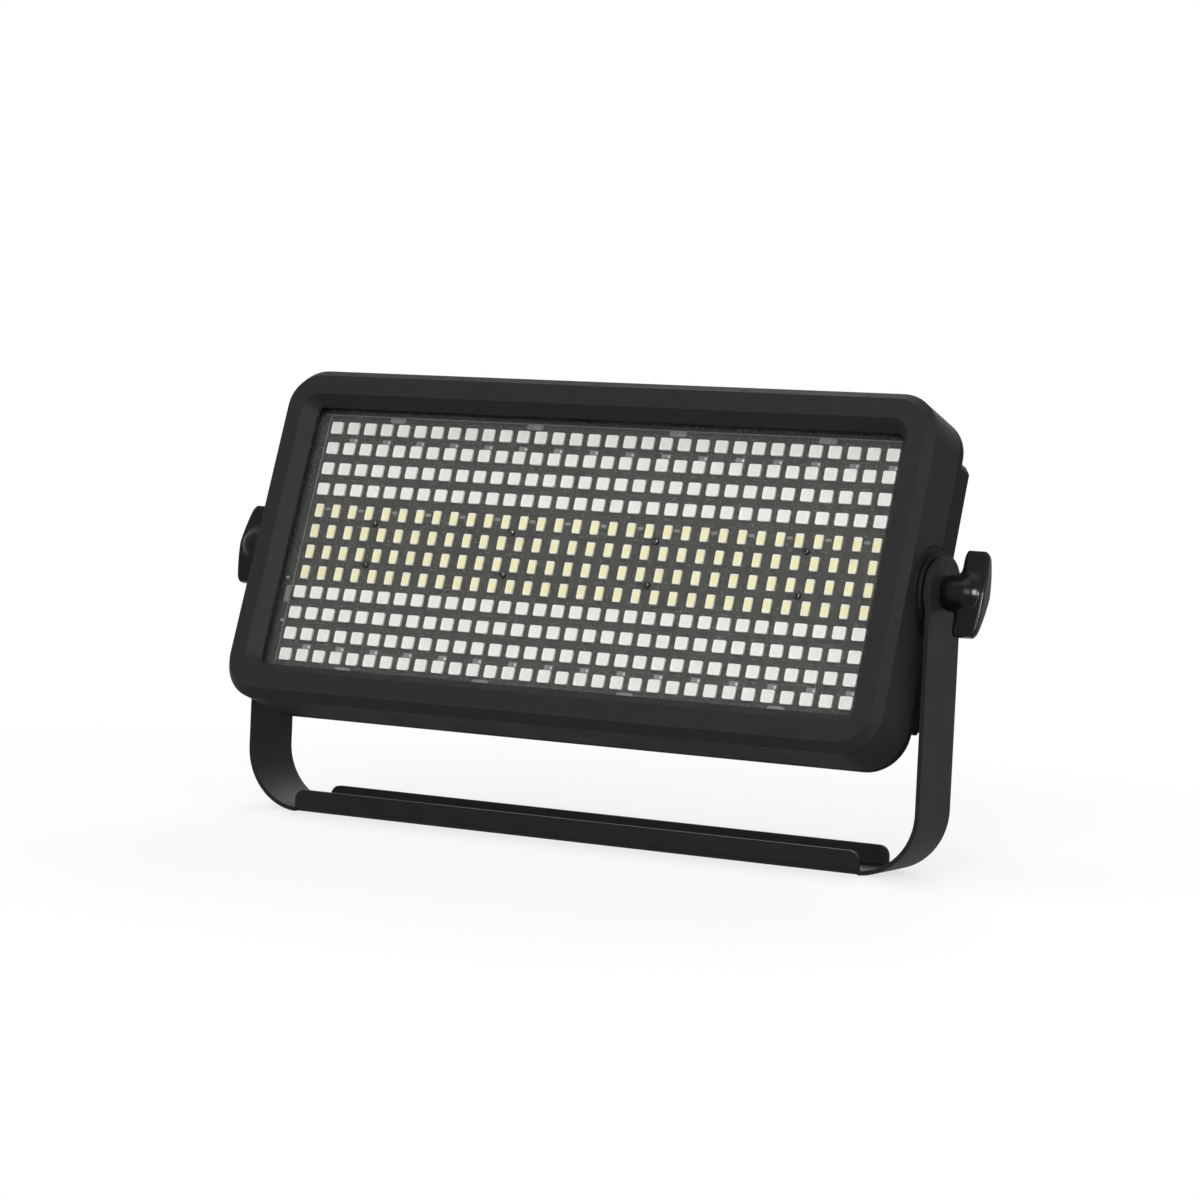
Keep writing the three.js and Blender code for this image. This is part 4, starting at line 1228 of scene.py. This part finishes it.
def screw_set_tree():
    """Puts a copy of one screw on every point, turned by its own seeded angle about its axis."""
    tree, given, made = node_group("screw_set", {
        "Screw": "Object",
        "Turn": "Float",
        "Seed": "Int",
        "Plating": "Material",
    })
    angle = add_node(tree, "FunctionNodeRandomValue", {}, data_type="FLOAT")
    for socket in angle.inputs:
        if socket.name == "Max" and socket.type == "VALUE":
            tree.links.new(given["Turn"], socket)
        if socket.name == "Seed":
            tree.links.new(given["Seed"], socket)
    drawn = next(socket for socket in angle.outputs if socket.type == "VALUE" and socket.enabled)
    turn = add_node(tree, "ShaderNodeCombineXYZ", {"Y": drawn})
    points = add_node(tree, "GeometryNodeMeshToPoints", {"Mesh": given["Geometry"]})
    screws = copies_on(tree, points.outputs[0], given["Screw"], Rotation=turn.outputs[0])
    set_inputs(tree, made, {0: coated(tree, screws, given["Plating"])})
    return tree


screw_set = screw_set_tree()


def build_screws(kind, sizes, plating, slot, facing_front=False):
    names = sorted(nodes_called(kind))
    low, high = head_box(names[0])
    mesh = screw_mesh((high.x - low.x) / 2, high.y - low.y, **sizes)
    if facing_front:
        moved(mesh, 0, low.y - high.y)
        mesh.transform(Matrix.Rotation(math.pi, 4, "Z"))
    one = add_piece(kind + "_pattern", mesh)
    spots = bpy.data.meshes.new(kind)
    spots.from_pydata(standing_points(names), [], [])
    values = {"Screw": one, "Turn": math.pi, "Seed": len(kind), "Plating": plating}
    screws = run_tree(kind + "s", screw_set, values, spots)
    bpy.data.objects.remove(one)
    to_head(screws)
    finish_piece(screws, "head", plating, slot, *names)


build_screws("board_screw", board_screw, black_plate, "black_steel", facing_front=True)
for screw_kind, screw_sizes in zinc_screws.items():
    build_screws(screw_kind, screw_sizes, zinc_plate, "zinc_steel")


# Rear housing: the second moulded shell. Its rim closes the frame, a shallow waist carries the
# pivot bosses, and the back tapers to a flat panel with the vents, the menu and the sockets.
back_y = head_box("rear_housing")[1].y
shell_gap = 0.0003
rim_thickness = 0.0024
housing_wall = 0.0024
waist_inset = 0.0002
waist_half_z = 0.0455
waist_rise = 0.0005
waist_cut_x = 0.0015
waist_cut_z = 0.0023
waist_depth = 0.0072
back_half_x = 0.104
back_half_z = 0.038
back_radius = 0.006
back_edge = 0.0016
boss_root_x = 0.1191
boss_ring_x = side_half_x + 0.0004
boss_step_radius = 0.0121
boss_face_x = side_half_x + 0.00125
boss_rounding = 0.0005
boss_rounding_steps = 5
insert_hole_radius = 0.0053
insert_hole_depth = 0.0063
vent_slot_width = 0.0026
vent_slot_pitch = 0.0052
vent_slot_count = 8
vent_slot_radius = 0.0012
vent_radius = 0.022
hole_slack = 0.0003
panel_openings = {"power_inlet": (0.027, 0.0196), "display_window": (0.03, 0.012)}
panel_corner = 0.0012
panel_screw_holes = {"fan": 0.0018, "signal": 0.0018, "safety_eye": 0.0023}
panel_round_holes = {
    "signal_in_socket": 0.0121,
    "signal_out_socket": 0.0121,
    "menu_button": 0.0033,
}
menu_post_radius = 0.0036
menu_post_start = 0.0019
housing_edge = 0.00035


def waist_ring(y, wall=0):
    """The waist's outline, its corners cut flat, with as many points as a rounded ring has."""
    half_x = side_half_x - waist_inset - wall
    half_z = waist_half_z - wall
    points = []
    for quarter, (sign_x, sign_z) in enumerate(corner_signs):
        for step in range(corner_steps + 1):
            share = step / corner_steps
            share = 1 - share if quarter % 2 else share
            x = half_x - waist_cut_x * share
            z = half_z - waist_cut_z * (1 - share)
            points.append((sign_x * x, y, waist_rise + sign_z * z))
    return points


def back_bar(point, radius, sides=hole_sides):
    """A round cutter through the back panel."""
    return moved(bar_along((0, 1, 0), radius, 3 * housing_wall, sides), point.x, back_y, point.z)


def back_slot(x, z, width, height, radius):
    """A cutter with round corners through the back panel, a little larger than its size."""
    half_x, half_z = width / 2 + hole_slack, height / 2 + hole_slack
    rings = []
    for side in (-1, 1):
        y = back_y + side * 1.5 * housing_wall
        rings.append(rounded_ring(half_x, half_z, radius, y, (x, z), corner_steps // 2))
    return lofted("slot", rings)


def panel_cutters():
    """The vents, and the openings for the inlet, display, signal sockets, buttons and screws."""
    fan = standing_points(["fan_frame"])[0]
    cutters = []
    for index in range(vent_slot_count):
        offset = (index - (vent_slot_count - 1) / 2) * vent_slot_pitch
        height = 2 * (math.sqrt(vent_radius ** 2 - offset ** 2) - hole_slack)
        width = vent_slot_width - 2 * hole_slack
        cutters.append(back_slot(fan.x + offset, 0, width, height, vent_slot_radius))
    for node, (width, height) in panel_openings.items():
        middle = standing_points([node])[0]
        cutters.append(back_slot(middle.x, middle.z, width, height, panel_corner))
    for kind, radius in panel_round_holes.items():
        cutters += [back_bar(point, radius) for point in standing_points(nodes_called(kind))]
    for kind, radius in panel_screw_holes.items():
        for point in standing_points(nodes_called(kind, "_screw_")):
            cutters.append(back_bar(point, radius, hole_sides // 2))
    return cutters


def rim_cutters():
    rim_middle = frame_high.y + shell_gap + rim_thickness / 2
    bore = bar_along((0, 1, 0), screw_hole_radius, 3 * rim_thickness, hole_sides // 2)
    points = standing_points(nodes_called("case_screw"))
    return [moved(bore.copy(), point.x, rim_middle, point.z) for point in points]


def boss_stage(radius, end_x, side):
    """A round step of the pivot boss with a rounded outer edge."""
    profile = [(0, boss_root_x), (radius, boss_root_x)]
    for cosine, sine in arc(boss_rounding_steps):
        profile.append((
            radius - boss_rounding * (1 - cosine),
            end_x - boss_rounding * (1 - sine),
        ))
    stage = turned(profile + [(0, end_x)], 2 * hole_sides)
    stage.transform(Matrix.Rotation(-side * math.pi / 2, 4, "Z"))
    return stage


def build_rear_housing():
    rim_y = frame_high.y + shell_gap
    waist_y = rim_y + rim_thickness
    waist_back_y = waist_y + waist_depth
    inner_back_y = back_y - housing_wall
    back = (back_half_x, back_half_z, back_radius)
    back_face = [size - back_edge for size in back]
    back_inside = [size - housing_wall for size in back]
    outside = [
        rounded_ring(side_half_x, side_half_z, side_radius, rim_y),
        rounded_ring(side_half_x, side_half_z, side_radius, waist_y),
        waist_ring(waist_y),
        waist_ring(waist_back_y),
        rounded_ring(*back, back_y - back_edge),
        rounded_ring(*back_face, back_y),
    ]
    inside = [
        waist_ring(rim_y - cutter_overrun, housing_wall),
        waist_ring(waist_back_y, housing_wall),
        rounded_ring(*back_inside, inner_back_y),
    ]
    housing = add_piece("rear_shell", lofted("rear_shell", outside))
    combine(housing, [lofted("hollow", inside)], "DIFFERENCE")
    additions = []
    for side in (-1, 1):
        for radius, end_x in ((boss_radius, boss_ring_x), (boss_step_radius, boss_face_x)):
            additions.append(boss_stage(radius, end_x, side))
    low, high = head_box("control_board")
    post_y = low.y + menu_post_start
    post_end = inner_back_y + back_edge / 2
    for post_x in (low.x + menu_post_radius, high.x - menu_post_radius):
        post = bar_along((0, 1, 0), menu_post_radius, post_end - post_y, hole_sides // 2)
        additions.append(moved(post, post_x, (post_end + post_y) / 2, (low.z + high.z) / 2))
    combine(housing, additions, "UNION")
    cutters = panel_cutters() + rim_cutters()
    for side in (-1, 1):
        bore = bar_along((1, 0, 0), insert_hole_radius, insert_hole_depth + cutter_overrun)
        centre_x = boss_face_x - (insert_hole_depth - cutter_overrun) / 2
        cutters.append(moved(bore, side * centre_x))
    combine(housing, cutters, "DIFFERENCE")
    round_edges(housing, housing_edge)
    return to_head(housing)


# The rear shell is the same plastic as the front frame; this darker copy of it is painted shade
# for the dim side walls of the waist.
rear_plastic = surface(
    "rear_plastic",
    colours=((0.0125, 0.0129, 0.0127), (0.0145, 0.0149, 0.0147)),
    roughness=(0.54, 0.62),
    grain=2200,
    bump=0.000015,
    specular=0.03,
)
finish_piece(build_rear_housing(), "head", rear_plastic, "housing_plastic", "rear_housing")


# Pivot: round bosses with brass inserts moulded in, rubber washers against the arms, and winged
# knobs of glossy black plastic moulded over M6 studs.
washer_edge = 0.0003
knob_voxel = 0.00025
knob_smoothing = 3
root_smoothing = 220
smoothing_strength = 0.5
root_radius = 0.0115
root_end = 0.0122
root_fade = 0.0025
root_softness = 3
hub_radius = 0.0061
hub_length = 0.0075
hub_nose_end = 0.0134
hub_nose_steps = 10
wing_half_length = 0.0143
wing_root = 0.0038
wing_relief = 0.0009
wing_outer = 0.0141
wing_arch = 0.0015
wing_mid_thickness = 0.0064
wing_end_thickness = 0.0028
wing_corner = 0.0009
wing_corner_steps = 3
wing_tip = 0.0009
wing_tip_share = 0.1
wing_stations = 25
turned_brass = surface(
    "turned_brass",
    colours=((0.5, 0.36, 0.13), (0.6, 0.44, 0.18)),
    roughness=(0.25, 0.35),
    grain=1200,
    bump=0.00001,
    metallic=1,
)
knob_plastic = surface(
    "knob_plastic",
    colours=((0.0045, 0.0045, 0.005), (0.007, 0.007, 0.0075)),
    roughness=(0.2, 0.28),
    grain=700,
    bump=0.00002,
    specular=0.12,
)


def wing_mesh():
    """The wing along Z, with x outwards from the arm: deepest and thickest at the hub."""
    rings = []
    for station in range(wing_stations):
        share = 2 * station / (wing_stations - 1) - 1
        away = abs(share)
        ending = max(0, away - (1 - wing_tip_share)) / wing_tip_share
        inner = wing_root + wing_relief * away + wing_tip * ending / 2
        outer = wing_outer - wing_arch * away ** 2 - wing_tip * ending
        thick = wing_mid_thickness + (wing_end_thickness - wing_mid_thickness) * away
        size = ((outer - inner) / 2, thick / 2, wing_corner)
        ring = rounded_ring(*size, share * wing_half_length, steps=wing_corner_steps)
        rings.append([(x + (inner + outer) / 2, z, y) for x, y, z in ring])
    return lofted("wing", rings)


def build_knob(side, sign):
    profile = [(0, 0), (hub_radius - coat_edge, 0), (hub_radius, coat_edge)]
    for cosine, sine in arc(hub_nose_steps)[:-1]:
        profile.append((hub_radius * cosine, hub_length + (hub_nose_end - hub_length) * sine))
    hub = turned(profile + [(0, hub_nose_end)], 2 * screw_sides)
    hub.transform(Matrix.Rotation(-math.pi / 2, 4, "Z"))
    knob = add_piece("winged_knob_" + side, hub)
    combine(knob, [wing_mesh()], "UNION")
    blend = knob.modifiers.new("moulding", "REMESH")
    blend.mode = "VOXEL"
    blend.voxel_size = knob_voxel
    bake_modifiers(knob)
    root = knob.vertex_groups.new(name="root")
    for vertex in knob.data.vertices:
        away = math.hypot(vertex.co.y, vertex.co.z) / root_radius
        below = (root_end - vertex.co.x) / root_fade
        root.add([vertex.index], max(0, min(1, root_softness * (1 - away), below)), "REPLACE")
    for iterations, group in ((knob_smoothing, ""), (root_smoothing, "root")):
        smooth = knob.modifiers.new("polish", "SMOOTH")
        smooth.iterations = iterations
        smooth.factor = smoothing_strength
        smooth.vertex_group = group
    bake_modifiers(knob)
    for face in knob.data.polygons:
        face.use_smooth = True
    moved(knob.data, min(abs(corner.x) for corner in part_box("knob_" + side)))
    if sign < 0:
        knob.data.transform(Matrix.Rotation(math.pi, 4, "Z"))
    to_head(knob)
    finish_piece(knob, "knob_" + side, knob_plastic, "knob_plastic", "knob_" + side)


pivot_parts = (
    ("pivot_insert_", "brass_insert_", turned_brass, "brass", 0),
    ("friction_washer_", "pad_", black_rubber, "rubber", washer_edge),
    ("knob_stud_", "stud_", zinc_plate, "zinc_steel", washer_edge),
)
for pivot_side, pivot_sign in (("left", -1), ("right", 1)):
    build_knob(pivot_side, pivot_sign)
    for node_start, name_start, *finish in pivot_parts:
        refine(node_start + pivot_side, name_start + pivot_side, *finish)


# Fan: a moulded 50 mm axial fan on the inside of the back panel; its seven blades and hub are
# one moulding that spins on a steel pin.
fan_edge = 0.00025
fan_plastic = surface(
    "fan_plastic",
    colours=((0.012, 0.012, 0.012), (0.018, 0.018, 0.018)),
    roughness=(0.4, 0.5),
    grain=1500,
    bump=0.00001,
)
refine("fan_frame", "fan_housing", fan_plastic, "knob_plastic", fan_edge)
refine("fan_rotor", "fan_blades", fan_plastic, "knob_plastic", fan_edge, 1)


# Boards inside: the power supply and the LED driver on the fins, the menu board behind the panel.
# Glass-fibre plates with a green mask; their parts are soldered on.
green_mask = surface(
    "green_mask",
    colours=((0.01, 0.09, 0.035), (0.016, 0.13, 0.05)),
    roughness=(0.35, 0.5),
    grain=1600,
    bump=0.00003,
)
green_boards = {
    "power_supply": "supply_board",
    "led_driver": "driver_board",
    "control_board": "menu_board",
}
for board_node, board_name in green_boards.items():
    refine(board_node, board_name, green_mask, "green_board", 0)


# Menu: a dark tinted display window pressed into the panel and four round push buttons under it,
# each with a collar behind the wall and a spring under its cap.
smoked_window = surface(
    "smoked_window",
    colours=((0.03, 0.006, 0.007), (0.036, 0.008, 0.009)),
    roughness=(0.08, 0.14),
    grain=500,
    bump=0.000003,
)
refine("display_window", "display_pane", smoked_window, "smoked_plastic", pane_edge)
for button in range(1, 5):
    refine(f"menu_button_{button}", f"button_cap_{button}", knob_plastic, "knob_plastic", fan_edge)


# Sockets: a mains inlet with three flat pins, and a male and a female three-pole signal socket,
# whose die-cast shells are screwed to the panel.
socket_edge = 0.0003
inlet_plastic = surface(
    "inlet_plastic",
    colours=((0.014, 0.014, 0.014), (0.019, 0.019, 0.019)),
    roughness=(0.35, 0.45),
    grain=1400,
    bump=0.00001,
)
refine("power_inlet", "mains_inlet", inlet_plastic, "knob_plastic", socket_edge)
for way in ("in", "out"):
    refine(f"signal_{way}_socket", f"signal_{way}_shell", black_plate, "black_steel", socket_edge)


# Safety eye: a steel tab bent at a right angle, zinc plated, held by two screws above the inlet.
# A safety wire's link goes through its hole.
refine("safety_eye", "safety_tab", zinc_plate, "zinc_steel", socket_edge)
